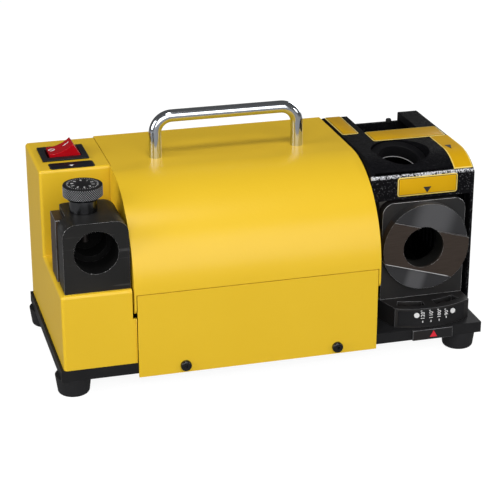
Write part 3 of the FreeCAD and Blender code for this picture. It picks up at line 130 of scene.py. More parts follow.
class Paint:
    """A procedural material on the part's own coordinates."""

    def __init__(self, name):
        self.material = bpy.data.materials.new(name)
        self.material.use_nodes = True
        self.tree = self.material.node_tree
        self.surface = self.tree.nodes["Principled BSDF"]
        self.place = self.node("ShaderNodeTexCoord", out="Object")

    def node(self, kind, settings=None, sockets=None, out=0):
        item = self.tree.nodes.new(kind)
        for name, value in (settings or {}).items():
            setattr(item, name, value)
        for name, value in (sockets or {}).items():
            self.feed(item.inputs[name], value)
        return Wire(self, item.outputs[out])

    def feed(self, socket, value):
        if isinstance(value, Wire):
            self.tree.links.new(value.socket, socket)
        else:
            socket.default_value = value

    def surface_values(self, **values):
        for name, value in values.items():
            self.feed(self.surface.inputs[name.replace("_", " ").title().replace("Ior", "IOR")], value)

    def noise(self, scale, detail=2, stretch=(1, 1, 1)):
        place = self.node("ShaderNodeMapping", {}, {"Vector": self.place, "Scale": stretch})
        return self.node("ShaderNodeTexNoise", {}, {"Vector": place, "Scale": scale, "Detail": detail})

    def axis(self, name):
        return self.node("ShaderNodeSeparateXYZ", {}, {0: self.place}, name)

    def mixed(self, share, low, high):
        low, high = ((*tone, 1) if isinstance(tone, tuple) else tone for tone in (low, high))
        return self.node("ShaderNodeMix", {"data_type": "RGBA"}, {0: share, 6: low, 7: high}, 2)

    def bump(self, height, strength, distance):
        bent = self.node("ShaderNodeBump", {}, {"Strength": strength, "Distance": distance, "Height": height})
        self.feed(self.surface.inputs["Normal"], bent)


def powder_coat():
    paint = Paint("yellow_powder_coat")
    broad = paint.noise(14, 3)
    peel = paint.noise(520, 3)
    paint.surface_values(base_color=paint.mixed(broad, (0.75, 0.475, 0.020), (0.79, 0.515, 0.028)),
                         roughness=0.36 + 0.10 * paint.noise(60, 2), coat_weight=0.6, coat_roughness=0.30,
                         specular_ior_level=0.0)
    paint.bump(peel, 0.16, 0.0004)
    return paint.material


def satin_black():
    paint = Paint("satin_black_paint")
    grain = paint.noise(700, 3)
    black = paint.mixed(paint.noise(40, 3), (0.009, 0.009, 0.010), (0.020, 0.020, 0.021))
    paint.surface_values(base_color=black, roughness=0.38 + 0.18 * paint.noise(90, 3), specular_ior_level=0.1)
    paint.bump(grain, 0.22, 0.0004)
    return paint.material


def crinkle_black():
    """Rough black paint, chipped along the head's front edge, with painted highlight specks on the band below
    it.
    """
    paint = Paint("black_crinkle_paint")
    cells = paint.node("ShaderNodeTexVoronoi", {"feature": "SMOOTH_F1"},
                       {"Vector": paint.place, "Scale": 950, "Smoothness": 0.6})
    crinkle = cells + 0.5 * paint.noise(1500, 3)
    edge_back, edge_drop = 0.0006, 0.0106
    ahead = paint.axis("Y") - (HEAD_FACE + edge_back)
    above = paint.axis("Z") - (TOP - edge_drop)
    rim = 1 - (ahead * ahead + above * above).ramp(0.8e-6, 3.2e-6)
    chips = rim * paint.noise(850, 5).ramp(0.43, 0.52)
    # front: the band below the brow, where the painted highlight specks gather
    front = (1 - paint.axis("Z").ramp(TOP - 0.0140, TOP - 0.0090)) * (1 - ahead.ramp(0.0010, 0.0040))
    # painted highlight specks, standing in for glints on the crinkle
    highlight_specks = (0.20 + 0.80 * front) * paint.noise(1000, 3).ramp(0.58, 0.72)
    black = paint.mixed(highlight_specks, (0.005, 0.005, 0.006), (0.10, 0.10, 0.105))
    paint.surface_values(base_color=paint.mixed(chips, black, (0.66, 0.67, 0.70)), metallic=0.6 * chips,
                         roughness=0.40 + 0.20 * paint.noise(200, 3), specular_ior_level=0.02)
    paint.bump(crinkle, 0.7, 0.0006)
    return paint.material


def bore_inside(paint, mount, face, depth):
    """1 on the inside of a holder bore, past a depth behind its front face; the paints use it to paint shade
    into the bore.
    """
    axis = mount_point(mount)
    right, up = paint.axis("X") - axis.x, paint.axis("Z") - axis.z
    soft = 0.0003
    inside = 1 - (right * right + up * up).ramp(BORE ** 2, (BORE + soft) ** 2)
    return inside * (paint.axis("Y") - face).ramp(soft, depth)


def worn_edge(name, dark, bright):
    """A steel edge that is bright in patches, partly worn bare steel and partly a painted edge highlight, and
    painted black as shade inside the depth gauge's bore.
    """
    paint = Paint(name)
    # painted shade: the edge goes black inside the depth gauge's bore
    bore_shade = bore_inside(paint, "gauge_bore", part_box("gauge_block")[0].y, 0.0010)
    # bright patches: partly worn bare steel, partly painted edge highlight
    bare = paint.noise(160, 4).ramp(0.26, 0.54) * (1 - bore_shade)
    dark = paint.mixed(bore_shade, dark, BORE_SHADE_BLACK)
    paint.surface_values(base_color=paint.mixed(bare, dark, bright), metallic=0.4 * bare,
                         roughness=0.45 - 0.15 * bare)
    paint.bump(paint.noise(1500, 3), 0.3, 0.0003)
    return paint.material


def oxide_steel(name, dark, brown, share, rough=0.34):
    """Blackened machined steel with fine tool lines and brownish patches."""
    paint = Paint(name)
    lines = paint.noise(90, 3, (1.0, 1.0, 14.0))
    stain = paint.noise(28, 4).ramp(0.35, 0.70)
    paint.surface_values(base_color=paint.mixed(share * stain, dark, brown), metallic=0.75,
                         roughness=rough + 0.16 * lines)
    paint.bump(lines + 0.4 * paint.noise(1200, 2), 0.10, 0.0003)
    return paint.material


def gauge_steel():
    """Blackened steel with faint milling lines, and painted shade that keeps its bore black inside."""
    paint = Paint("gauge_steel")
    # hollow: painted shade that keeps the bore black and rougher inside
    hollow = bore_inside(paint, "gauge_bore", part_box("gauge_block")[0].y, 0.0010)
    lines = paint.noise(80, 3, (1.0, 1.0, 18.0))
    scuffs = paint.noise(45, 6, (0.5, 1.0, 9.0)).ramp(0.60, 0.78)
    tone = paint.mixed(paint.noise(30, 4), (0.016, 0.017, 0.018), (0.036, 0.034, 0.032))
    worn = paint.mixed(0.7 * scuffs, tone, (0.11, 0.11, 0.11))
    paint.surface_values(base_color=paint.mixed(hollow, worn, BORE_SHADE_BLACK),
                         metallic=0.6 * (1 - hollow), roughness=0.40 + 0.16 * lines + 0.4 * hollow,
                         specular_ior_level=0.15)
    paint.bump(lines + 0.4 * paint.noise(1200, 2), 0.14, 0.0003)
    return paint.material


def ring_steel():
    """Turned steel: a browner band across the ring's face, a painted highlight line along the step under it,
    a painted glint beside it and painted shade in its bore.
    """
    paint = Paint("cam_ring_steel")
    tilt = math.radians(16.4)
    centre = (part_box("cam_ring")[0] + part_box("cam_ring")[1]) / 2
    right, up = paint.axis("X") - centre.x, paint.axis("Z") - centre.z
    across = up * math.cos(tilt) + right * math.sin(tilt)
    along = right * math.cos(tilt) - up * math.sin(tilt)
    band = across.ramp(-0.0200, -0.0190) - across.ramp(0.0130, 0.0146)
    spread = 0.00009 + 0.00031 * across.ramp(-0.010, 0.010)
    glint = 1 - (along * along).ramp(0.000004, spread)
    # line: a painted highlight along the lower step's edge, where it catches light
    line = (across.ramp(-0.0199, -0.0196) - across.ramp(-0.0191, -0.0188)) * (1 - right.ramp(0.016, 0.020))
    # hollow: painted shade inside the seat bore, near black
    hollow = bore_inside(paint, "seat_bore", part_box("cam_ring")[0].y, 0.0034)
    lines = paint.noise(70, 3, (1.0, 1.0, 16.0))
    tone = paint.mixed(glint, (0.042, 0.042, 0.045), (0.115, 0.115, 0.121))
    brown = paint.mixed(lines, (0.036, 0.025, 0.019), (0.070, 0.052, 0.042))
    lit = paint.mixed(line, paint.mixed(band, tone, brown), (0.62, 0.62, 0.63))
    paint.surface_values(base_color=paint.mixed(hollow, lit, (0.006, 0.006, 0.005)),
                         metallic=0.6 - 0.5 * line, roughness=0.40 + 0.16 * lines + 0.3 * hollow)
    paint.bump(lines, 0.12, 0.0003)
    return paint.material


def port_black():
    """Black paint in the relief port, with a painted highlight along the lower rim of its bore."""
    paint = Paint("relief_port_black")
    lean = math.radians(20)
    axis = mount_point("relief_bore")
    depth = (axis.z - paint.axis("Z")) * math.cos(lean) + (paint.axis("Y") - axis.y) * math.sin(lean)
    # rim: a painted highlight along the bore's lower edge
    rim = depth.ramp(0.0043, 0.0047) * paint.noise(90, 3).ramp(0.22, 0.45)
    black = paint.mixed(paint.noise(120, 4), (0.004, 0.004, 0.005), (0.010, 0.010, 0.011))
    paint.surface_values(base_color=paint.mixed(rim, black, (0.90, 0.90, 0.92)), roughness=0.45 - 0.10 * rim,
                         specular_ior_level=0.1)
    paint.bump(paint.noise(900, 3), 0.2, 0.0003)
    return paint.material


def knurled_steel():
    """Blackened steel with a painted highlight on its knurled points."""
    paint = Paint("knurled_dial_steel")
    low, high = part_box("dial_knob")
    right, back = paint.axis("X") - (low.x + high.x) / 2, paint.axis("Y") - (low.y + high.y) / 2
    radius = (high.x - low.x) / 2
    # points: painted highlights on the tips of the knurl
    points = (right * right + back * back).ramp((radius - 0.00030) ** 2, (radius - 0.00002) ** 2)
    side = 1 - (paint.axis("Z") - high.z).ramp(-0.0004, -0.0001)
    paint.surface_values(base_color=paint.mixed(points * side, (0.008, 0.008, 0.009), (0.42, 0.43, 0.445)),
                         metallic=0.5 * points, roughness=0.36 + 0.10 * paint.noise(300, 2),
                         specular_ior_level=0.15)
    return paint.material


def smooth_metal(name, low, high, rough, grain, stretch=(1, 1, 1)):
    paint = Paint(name)
    smear = paint.noise(grain, 4, stretch)
    paint.surface_values(base_color=paint.mixed(smear, low, high), metallic=1.0,
                         roughness=rough + 0.10 * smear)
    paint.bump(paint.noise(grain * 12, 2, stretch), 0.05, 0.0002)
    return paint.material


def chrome():
    paint = Paint("polished_chrome")
    haze = paint.noise(60, 3)
    paint.surface_values(base_color=paint.mixed(haze, (0.56, 0.59, 0.63), (0.64, 0.67, 0.71)), metallic=1.0,
                         roughness=0.10 + 0.04 * haze)
    return paint.material


def moulded(name, low, high, rough, grain, strength, shine=0.5):
    """A plastic or rubber with a fine moulded grain."""
    paint = Paint(name)
    paint.surface_values(base_color=paint.mixed(paint.noise(60, 3), low, high),
                         roughness=rough + 0.12 * paint.noise(140, 3), specular_ior_level=shine)
    paint.bump(paint.noise(grain, 3), strength, 0.0004)
    return paint.material


def grit():
    paint = Paint("abrasive_grit")
    grains = paint.node("ShaderNodeTexVoronoi", {}, {"Vector": paint.place, "Scale": 1600}, 1)
    paint.surface_values(base_color=paint.mixed(paint.noise(900, 3), (0.10, 0.095, 0.09), (0.30, 0.29, 0.27)),
                         roughness=0.75 + 0.2 * paint.noise(700, 2))
    paint.bump(paint.node("ShaderNodeRGBToBW", {}, {0: grains}), 0.6, 0.0005)
    return paint.material


LOOKS = {
    "yellow_paint": powder_coat(),
    "black_paint": satin_black(),
    "head_paint": crinkle_black(),
    "black_steel": oxide_steel("black_oxide_steel", (0.030, 0.030, 0.032), (0.050, 0.038, 0.030), 0.7),
    "chrome": chrome(),
    "rubber": moulded("black_rubber", (0.008, 0.008, 0.009), (0.018, 0.018, 0.020), 0.50, 600, 0.35, 0.3),
    "red_plastic": moulded("red_switch_plastic", (0.34, 0.002, 0.006), (0.43, 0.003, 0.008),
                           0.14, 300, 0.02, 0.12),
    "black_plastic": moulded("black_moulded_plastic", (0.008, 0.009, 0.011), (0.016, 0.017, 0.020),
                             0.26, 800, 0.12, 0.1),
    "grey_plastic": moulded("grey_moulded_plastic", (0.20, 0.20, 0.21), (0.27, 0.27, 0.28), 0.42, 700, 0.15),
    "steel": smooth_metal("bright_steel", (0.50, 0.50, 0.51), (0.62, 0.62, 0.63), 0.24, 70, (1, 1, 6)),
    "aluminium": smooth_metal("cast_aluminium", (0.28, 0.28, 0.29), (0.36, 0.36, 0.37), 0.44, 160),
    "core_steel": smooth_metal("laminated_core_steel", (0.30, 0.30, 0.31), (0.40, 0.40, 0.41),
                               0.42, 90, (20, 1, 1)),
    "abrasive": grit(),
    "brass": smooth_metal("brass", (0.60, 0.42, 0.16), (0.70, 0.51, 0.22), 0.22, 80),
}
RING_STEEL = ring_steel()
GAUGE_STEEL = gauge_steel()
SEAT_STEEL = oxide_steel("seat_steel", (0.032, 0.032, 0.033), (0.050, 0.044, 0.040), 0.6, 0.42)
EAR_STEEL = oxide_steel("browned_plate_steel", (0.030, 0.028, 0.027), (0.085, 0.058, 0.040), 1.0, 0.42)
SLEEVE_STEEL = smooth_metal("sleeve_steel", (0.075, 0.077, 0.082), (0.11, 0.112, 0.118),
                            0.16, 60, (1, 1, 0.2))
KNURLED_STEEL = knurled_steel()
PORT_BLACK = port_black()
RIVET_STEEL = moulded("rivet_steel", (0.70, 0.70, 0.70), (0.84, 0.84, 0.84), 0.30, 300, 0.05)
# edge colours for bevel faces, bright and dim: worn bare steel and painted edge highlights
RUBBED_AND_HIGHLIT_EDGE = worn_edge("worn_and_highlit_steel_edge", (0.07, 0.07, 0.073), (0.72, 0.72, 0.73))
DIM_WORN_AND_HIGHLIT_EDGE = worn_edge("dim_worn_and_highlit_steel_edge", (0.030, 0.030, 0.032), (0.20, 0.20, 0.21))
SCREW_BLACK = moulded("glossy_screw_black", (0.004, 0.004, 0.005), (0.007, 0.007, 0.008),
                      0.04, 300, 0.02, 0.4)
WHITE_INK = moulded("white_mark", (0.78, 0.78, 0.78), (0.86, 0.86, 0.86), 0.40, 900, 0.05)
BLACK_INK = moulded("black_mark", (0.008, 0.008, 0.008), (0.014, 0.014, 0.014), 0.40, 900, 0.05)
RED_INK = moulded("red_mark", (0.66, 0.012, 0.030), (0.74, 0.018, 0.040), 0.35, 900, 0.05)
LABEL_YELLOW = moulded("label_yellow", (0.58, 0.315, 0.004), (0.66, 0.37, 0.008), 0.30, 500, 0.05, 0.05)
LABEL_RIM = moulded("label_rim", (0.78, 0.58, 0.12), (0.84, 0.64, 0.16), 0.32, 500, 0.05, 0.2)
PLATE_BLACK = moulded("label_black", (0.005, 0.006, 0.010), (0.009, 0.010, 0.015), 0.34, 500, 0.05, 0.08)


def slot_of(node):
    """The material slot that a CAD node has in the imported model."""
    name = frame["nodes"][node].data.materials[0].name
    return next(slot for slot in LOOKS if name.startswith(slot))


SLOTS = {node: slot_of(node) for node in frame["nodes"]}
for node, thing in frame["nodes"].items():
    thing.data.materials.clear()
    thing.data.materials.append(LOOKS[SLOTS[node]])


# Modelling
def pick(*things):
    """Select these objects alone, the last one active."""
    bpy.ops.object.select_all(action="DESELECT")
    for thing in things:
        thing.select_set(True)
    bpy.context.view_layer.objects.active = things[-1]


def choose(thing, wanted, kind="FACE"):
    """In edit mode, select the faces, edges or vertices that a test of their place and direction accepts."""
    bpy.ops.mesh.select_mode(type="VERT")
    bpy.ops.mesh.select_all(action="DESELECT")
    bpy.ops.mesh.select_mode(type=kind)
    bpy.ops.object.mode_set(mode="OBJECT")
    mesh = thing.data
    if kind == "FACE":
        for face in mesh.polygons:
            face.select = bool(wanted(face.center, face.normal))
    elif kind == "EDGE":
        for edge in mesh.edges:
            a, b = (mesh.vertices[number].co for number in edge.vertices)
            edge.select = bool(wanted((a + b) / 2, b - a))
    else:
        for vertex in mesh.vertices:
            vertex.select = bool(wanted(vertex.co, vertex.index))
    bpy.ops.object.mode_set(mode="EDIT")


def modify(thing, kind, **settings):
    """Add a modifier and apply it."""
    pick(thing)
    item = thing.modifiers.new(kind.lower(), kind)
    for name, value in settings.items():
        setattr(item, name, value)
    bpy.ops.object.modifier_apply(modifier=item.name)


def finished(thing, name, look, body, smooth=35):
    """Name a piece, paint it, smooth its curves and let it ride on a body."""
    pick(thing)
    bpy.ops.object.transform_apply(location=True, rotation=True, scale=True)
    thing.name = name
    thing.data.name = name
    if look is not None:
        thing.data.materials.clear()
        thing.data.materials.append(look)
    bpy.ops.object.shade_smooth_by_angle(angle=math.radians(smooth))
    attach(thing, body)
    return thing


def softened(nodes, width, body="frame", look=None, edge=None, name=None, steps=2):
    """A copy of CAD pieces with their sharp edges rounded, which stands for them."""
    nodes = [nodes] if isinstance(nodes, str) else nodes
    copies = []
    for node in nodes:
        copy = frame["nodes"][node].copy()
        copy.data = copy.data.copy()
        copy.parent = None
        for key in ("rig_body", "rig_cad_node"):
            if key in copy:
                del copy[key]
        bpy.context.scene.collection.objects.link(copy)
        copies.append(copy)
    pick(*copies)
    if len(copies) > 1:
        bpy.ops.object.join()
    piece = bpy.context.view_layer.objects.active
    slot = SLOTS[nodes[0]]
    piece.data.materials.clear()
    piece.data.materials.append(look or LOOKS[slot])
    # the edge material colours the bevel faces: worn bare steel and painted edge highlights
    if edge:
        piece.data.materials.append(edge)
    bpy.ops.object.mode_set(mode="EDIT")
    bpy.ops.mesh.select_all(action="SELECT")
    bpy.ops.mesh.remove_doubles(threshold=WELD)
    bpy.ops.mesh.dissolve_limited(angle_limit=FLAT)
    bpy.ops.mesh.normals_make_consistent(inside=False)
    bpy.ops.object.mode_set(mode="OBJECT")
    if width:
        modify(piece, "BEVEL", width=width * MM, segments=steps, limit_method="ANGLE",
               angle_limit=SHARP, material=1 if edge else -1)
    finished(piece, name or f"{nodes[0]}_finish", None, body)
    modify(piece, "WEIGHTED_NORMAL", keep_sharp=True)
    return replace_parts(piece, *nodes)


def slab(size, corner, rounding, place, turn=(0, 0, 0)):
    """A thin plate with rounded corners, lying flat before it is turned and placed; sizes in millimetres."""
    bpy.ops.mesh.primitive_cube_add(size=1)
    thing = bpy.context.active_object
    thing.scale = Vector(size) * MM
    bpy.ops.object.transform_apply(scale=True)
    bpy.ops.object.mode_set(mode="EDIT")
    choose(thing, lambda middle, run: abs(run.z) > 0.9 * run.length, "EDGE")
    bpy.ops.mesh.bevel(offset=corner * MM, segments=5, affect="EDGES")
    choose(thing, lambda middle, normal: normal.z > 0.9)
    bpy.ops.mesh.bevel(offset=rounding * MM, segments=2, affect="EDGES")
    bpy.ops.object.mode_set(mode="OBJECT")
    thing.rotation_euler = Euler([math.radians(angle) for angle in turn])
    thing.location = spot(*place)
    return thing


def arrow(width, height, thick, place, turn=(0, 0, 0)):
    """A plain triangle that points along its own +Y."""
    bpy.ops.mesh.primitive_circle_add(vertices=3, radius=1, fill_type="NGON")
    thing = bpy.context.active_object
    bpy.ops.object.mode_set(mode="EDIT")
    bpy.ops.mesh.select_all(action="SELECT")
    bpy.ops.mesh.extrude_region_move(TRANSFORM_OT_translate={"value": (0, 0, 1)})
    bpy.ops.mesh.select_all(action="SELECT")
    bpy.ops.mesh.normals_make_consistent(inside=False)
    bpy.ops.object.mode_set(mode="OBJECT")
    own_width, own_height = math.sqrt(3), 1.5
    thing.scale = (width * MM / own_width, height * MM / own_height, thick * MM)
    thing.rotation_euler = Euler([math.radians(angle) for angle in turn])
    thing.location = spot(*place)
    return thing


def figure(text, height, thick, matrix):
    """Plain figures as a thin raised mesh, placed by a matrix."""
    bpy.ops.object.text_add()
    thing = bpy.context.active_object
    thing.data.body = text
    thing.data.align_x = "CENTER"
    thing.data.align_y = "CENTER"
    share_of_size = 0.7
    thing.data.size = height * MM / share_of_size
    thing.data.extrude = thick * MM / 2
    thing.data.resolution_u = 3
    bpy.ops.object.convert(target="MESH")
    thing = bpy.context.active_object
    thing.data.transform(matrix)
    return thing


def merged(things, name, look, body):
    """Several small marks as one piece."""
    pick(*things)
    bpy.ops.object.transform_apply(location=True, rotation=True, scale=True)
    bpy.ops.object.join()
    finished(bpy.context.active_object, name, look, body)


# Rounded edges on the visible CAD pieces
softened("lid", 0.8, "lid")
softened("left_housing", 0.9)
softened("front_panel", 0.7)
softened("rear_cover", 0.5)
softened("base_plate", 0.7)
softened(["head_roof", "head_left_wall", "head_back_wall", "head_side_cover", "thinning_shelf"], 0.6,
         name="head_finish")
softened("gauge_block", 0.45, look=GAUGE_STEEL, edge=RUBBED_AND_HIGHLIT_EDGE)
softened("gauge_side_plate", 0.4, look=EAR_STEEL, edge=DIM_WORN_AND_HIGHLIT_EDGE)
softened("dial_sleeve", 0.3, look=SLEEVE_STEEL)
softened("seat_plate", 0.4, "seat", look=SEAT_STEEL, edge=RUBBED_AND_HIGHLIT_EDGE)
softened("cam_ring", 0.35, "seat", look=RING_STEEL, edge=RUBBED_AND_HIGHLIT_EDGE)
softened("swivel_base", 0.45, "seat", look=SEAT_STEEL, edge=DIM_WORN_AND_HIGHLIT_EDGE)
softened("pointer_block", 0.35, edge=DIM_WORN_AND_HIGHLIT_EDGE)
softened("scale_plate", 0.15, "seat")
softened("relief_seat", 0.5, look=PORT_BLACK)
softened("thinning_seat", 0.5, edge=RUBBED_AND_HIGHLIT_EDGE)
softened("switch_body", 0.6)
softened("switch_rocker", 0.5, "rocker", steps=3)
softened("power_inlet", 0.5)
softened("scale_rivets", 0, "seat", look=RIVET_STEEL)
softened("panel_screws", 0, look=SCREW_BLACK)
for plain, body in (("rubber_feet", "frame"), ("rear_screws", "frame"), ("grinding_wheel", "spindle")):
    softened(plain, 0, body)
frame["nodes"]["stop_pin"].data.materials[0] = LOOKS["black_steel"]


# Carrying handle, as one smooth sweep
def handle_bar():
    low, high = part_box("handle")
    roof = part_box("lid")[1].z
    rod, stud, bend = (high.y - low.y) / 2, 0.003, 0.0128
    left, right, middle, top = low.x + rod, high.x - rod, (low.y + high.y) / 2, high.z - rod
    bpy.ops.mesh.primitive_circle_add(vertices=40, radius=stud, location=(left, middle, low.z))
    bar = bpy.context.active_object
    bpy.ops.object.transform_apply(location=True)
    bpy.ops.object.mode_set(mode="EDIT")
    bpy.ops.mesh.select_all(action="SELECT")
    bpy.ops.mesh.edge_face_add()
    choose(bar, lambda centre, run: True, "EDGE")

    def run(x, z, grow=1.0):
        bpy.ops.mesh.extrude_edges_move(TRANSFORM_OT_translate={"value": (x, 0, z)})
        bpy.ops.transform.resize(value=(grow, grow, 1))

    run(0, roof - low.z)
    run(0, 0, rod / stud)
    run(0, top - bend - roof)
    bpy.ops.mesh.spin(steps=20, angle=-math.pi / 2, center=(left + bend, middle, top - bend), axis=(0, 1, 0))
    run(right - left - 2 * bend, 0)
    bpy.ops.mesh.spin(steps=20, angle=-math.pi / 2, center=(right - bend, middle, top - bend), axis=(0, 1, 0))
    run(0, roof - top + bend)
    run(0, 0, stud / rod)
    run(0, low.z - roof)
    bpy.ops.mesh.edge_face_add()
    bpy.ops.mesh.select_all(action="SELECT")
    bpy.ops.mesh.remove_doubles(threshold=WELD)
    bpy.ops.mesh.normals_make_consistent(inside=False)
    bpy.ops.object.mode_set(mode="OBJECT")
    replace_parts(finished(bar, "handle_bar", LOOKS["chrome"], "lid"), "handle")


# Setting dial
def dial():
    low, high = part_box("dial_knob")
    middle = (low + high) / 2
    radius = (high.x - low.x) / 2
    columns, rows, knurl, lift = 112, 12, 0.0004, 0.00022
    bpy.ops.mesh.primitive_cylinder_add(vertices=columns, radius=radius - knurl, depth=high.z - low.z,
                                        location=middle)
    knob = bpy.context.active_object
    bpy.ops.object.transform_apply(location=True)
    bpy.ops.object.mode_set(mode="EDIT")
    choose(knob, lambda centre, run: abs(run.z) > 0.9 * run.length, "EDGE")
    bpy.ops.mesh.subdivide(number_cuts=rows - 1)
    rise = (high.z - low.z) / rows

    def row(place):
        return round((place.z - low.z) / rise)

    def raised(place, number):
        column = round(math.atan2(place.y - middle.y, place.x - middle.x) / math.tau * columns)
        return 3 <= row(place) < rows and (row(place) + column) % 2 == 0

    choose(knob, raised, "VERT")
    share = radius / (radius - knurl)
    bpy.ops.transform.resize(value=(share, share, 1))
    for step, inward in ((0, 0.80), (1, 0.86), (2, 0.93)):
        choose(knob, lambda place, number: row(place) == step, "VERT")
        bpy.ops.transform.resize(value=(inward, inward, 1))
    choose(knob, lambda centre, normal: abs(normal.z) < 0.9)
    bpy.ops.mesh.quads_convert_to_tris(quad_method="SHORTEST_DIAGONAL")
    choose(knob, lambda centre, normal: normal.z > 0.9)
    bpy.ops.mesh.inset(thickness=0.0006)
    bpy.ops.mesh.inset(thickness=0.0008, depth=0.0002)
    bpy.ops.object.mode_set(mode="OBJECT")
    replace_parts(finished(knob, "dial_knob_knurled", KNURLED_STEEL, "dial", 20), "dial_knob")
    ticks, figures, tick_reach, figure_reach, thick = 40, 10, 11.4, 7.4, 0.12
    face = Matrix.Translation((middle.x, middle.y, high.z + lift))
    marks = []
    for number in range(ticks):
        turn = Matrix.Rotation(math.tau * number / ticks, 4, "Z")
        long = 1.5 if number % 4 == 0 else 0.8
        mark = slab((0.24, long, thick), 0.05, 0.02, (0, 0, 0))
        mark.matrix_world = face @ turn @ Matrix.Translation(spot(0, tick_reach - long / 2, 0))
        marks.append(mark)
    for number in range(figures):
        turn = Matrix.Rotation(-math.tau * number / figures, 4, "Z")
        place = face @ turn @ Matrix.Translation(spot(0, figure_reach, 0))
        marks.append(figure(str(number), 2.1, thick, place))
    merged(marks, "dial_figures", WHITE_INK, "dial")


# Labels on the head and plain arrows
def label(name, size, place, turn=(0, 0, 0), look=LABEL_YELLOW, rim=LABEL_RIM):
    """A bare label: a plate with a thin outline and a slightly smaller face on it."""
    out = Euler([math.radians(angle) for angle in turn]).to_matrix() @ Vector((0, 0, 1))
    corner, thick, rounding = 2.0, 0.30, 0.06
    layers = (("rim", 0, 0, rim), ("line", 1.5, 0.08, BLACK_INK), ("face", 2.3, 0.16, look))
    for part, less, rise, paint in layers:
        flat = (size[0] - less, size[1] - less, thick)
        plate = slab(flat, corner - less / 2, rounding, Vector(place) + rise * out, turn)
        finished(plate, f"{name}_{part}", paint, "frame")


def brow_strip(name, x, start, stop, look, lift):
    """A strip of label that lies on the flat top and follows the head's rounded brow to the front."""
    centre_y, radius = -21.42, 39 + lift
    top, near = TOP / MM + lift, 0.00001
    bpy.ops.mesh.primitive_plane_add(size=1)
    strip = bpy.context.active_object
    strip.scale = spot(x[1] - x[0], start - centre_y, 1000)
    strip.location = spot((x[0] + x[1]) / 2, (start + centre_y) / 2, top)
    bpy.ops.object.transform_apply(location=True, scale=True)
    bpy.ops.object.mode_set(mode="EDIT")
    choose(strip, lambda middle, run: abs(middle.y - centre_y * MM) < near, "EDGE")
    sweep = math.asin((centre_y - stop) / radius)
    bpy.ops.mesh.spin(steps=12, angle=-sweep, center=spot(0, centre_y, top - radius), axis=(1, 0, 0))
    bpy.ops.mesh.select_all(action="SELECT")
    bpy.ops.mesh.remove_doubles(threshold=near)
    bpy.ops.mesh.normals_make_consistent(inside=False)
    bpy.ops.object.mode_set(mode="OBJECT")
    modify(strip, "SOLIDIFY", thickness=0.0002, offset=-1)
    finished(strip, name, look, "frame")


def labels():
    label("bridge_label", (59, 23), (130.5, 17.3, TOP / MM + 0.1))
    label("left_label", (13.5, 46), (89.5, 50, TOP / MM + 0.1))
    label("band_label", (47.5, 14.8), (125, HEAD_FACE / MM - 0.1, 127.4), (90, 0, 0))
    label("switch_plate", (33.2, 13.4), (-132, 13.0, TOP / MM + 0.1), look=PLATE_BLACK, rim=PLATE_BLACK)
    brow_strip("brow_label_rim", (146.2, 161.2), 5.2, -46.6, LABEL_RIM, 0.25)
    brow_strip("brow_label_face", (147.0, 160.4), 4.4, -45.8, LABEL_YELLOW, 0.33)
    band = arrow(6.4, 4.6, 0.2, (124.7, HEAD_FACE / MM - 0.36, 124.6), (90, 180, 0))
    finished(band, "band_arrow", BLACK_INK, "frame")
    brow = arrow(5.0, 8.0, 0.4, (151.6, -21.0, TOP / MM + 0.10), (0, 0, 180))
    finished(brow, "brow_arrow", BLACK_INK, "frame")
    switch = arrow(3.6, 3.4, 0.2, (-132.2, 11.6, TOP / MM + 0.30), (0, 0, 180))
    finished(switch, "switch_arrow", WHITE_INK, "frame")


# Angle scale, pointer, switch marks, the small pin in the notch and the housing's folded edge
def scale_marks():
    axis = Vector((joint_point("seat_swivel").x, joint_point("seat_swivel").y, 0))
    reach, height, thick, half_figure, gap = 65.85, 34.0, 0.14, 1.35, 1.7
    marks = []
    for text, across in (("120", 114.9), ("110", 121.4), ("100", 128.0), ("90", 134.0)):
        bearing = math.asin((across * MM - axis.x) / (reach * MM))
        face = (Matrix.Translation(axis) @ Matrix.Rotation(bearing, 4, "Z")
                @ Matrix.Translation(spot(0, -reach, height)) @ Matrix.Rotation(math.pi / 2, 4, "X")
                @ Matrix.Rotation(math.pi / 2, 4, "Z"))
        marks.append(figure(text + "\u00b0", 2.9, thick, face))
        tick = slab((1.7, 0.6, thick), 0.05, 0.02, (0, 0, 0))
        tick.matrix_world = face @ Matrix.Translation(spot(-half_figure * len(text) - gap, 0, 0))
        marks.append(tick)
    merged(marks, "scale_figures", WHITE_INK, "seat")
    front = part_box("pointer_block")[0].y / MM
    pointer = arrow(5.8, 5.0, 0.3, (123.0, front - 0.02, 17.9), (90, 0, 0))
    finished(pointer, "pointer_arrow", RED_INK, "frame")


def switch_marks():
    pivot = joint_point("switch_rocker")
    tilt = math.radians(20)
    hollow, centre = 24.28, 29.28

    def on_rocker(along, across):
        """The place and slope of a point on the rocker's hollow top."""
        drop = math.sqrt(hollow ** 2 - along ** 2)
        turn = Matrix.Rotation(-tilt, 4, "Y")
        slope = Matrix.Rotation(-math.asin(along / hollow), 4, "Y")
        rise = Matrix.Translation(spot(along, across, centre - drop))
        return Matrix.Translation(pivot) @ turn @ rise @ slope

    around, stroke, squash = 0.0021, 0.00042, (1.15, 0.95, 0.35, 1)
    bpy.ops.mesh.primitive_torus_add(major_segments=32, minor_segments=8, major_radius=around,
                                     minor_radius=stroke)
    ring = bpy.context.active_object
    ring.data.transform(on_rocker(-6.6, 1.0) @ Matrix.Diagonal(squash))
    bar = slab((5.6, 0.9, 0.3), 0.2, 0.08, (0, 0, 0))
    bar.matrix_world = on_rocker(5.0, 1.5)
    merged([ring, bar], "switch_marks", WHITE_INK, "rocker")


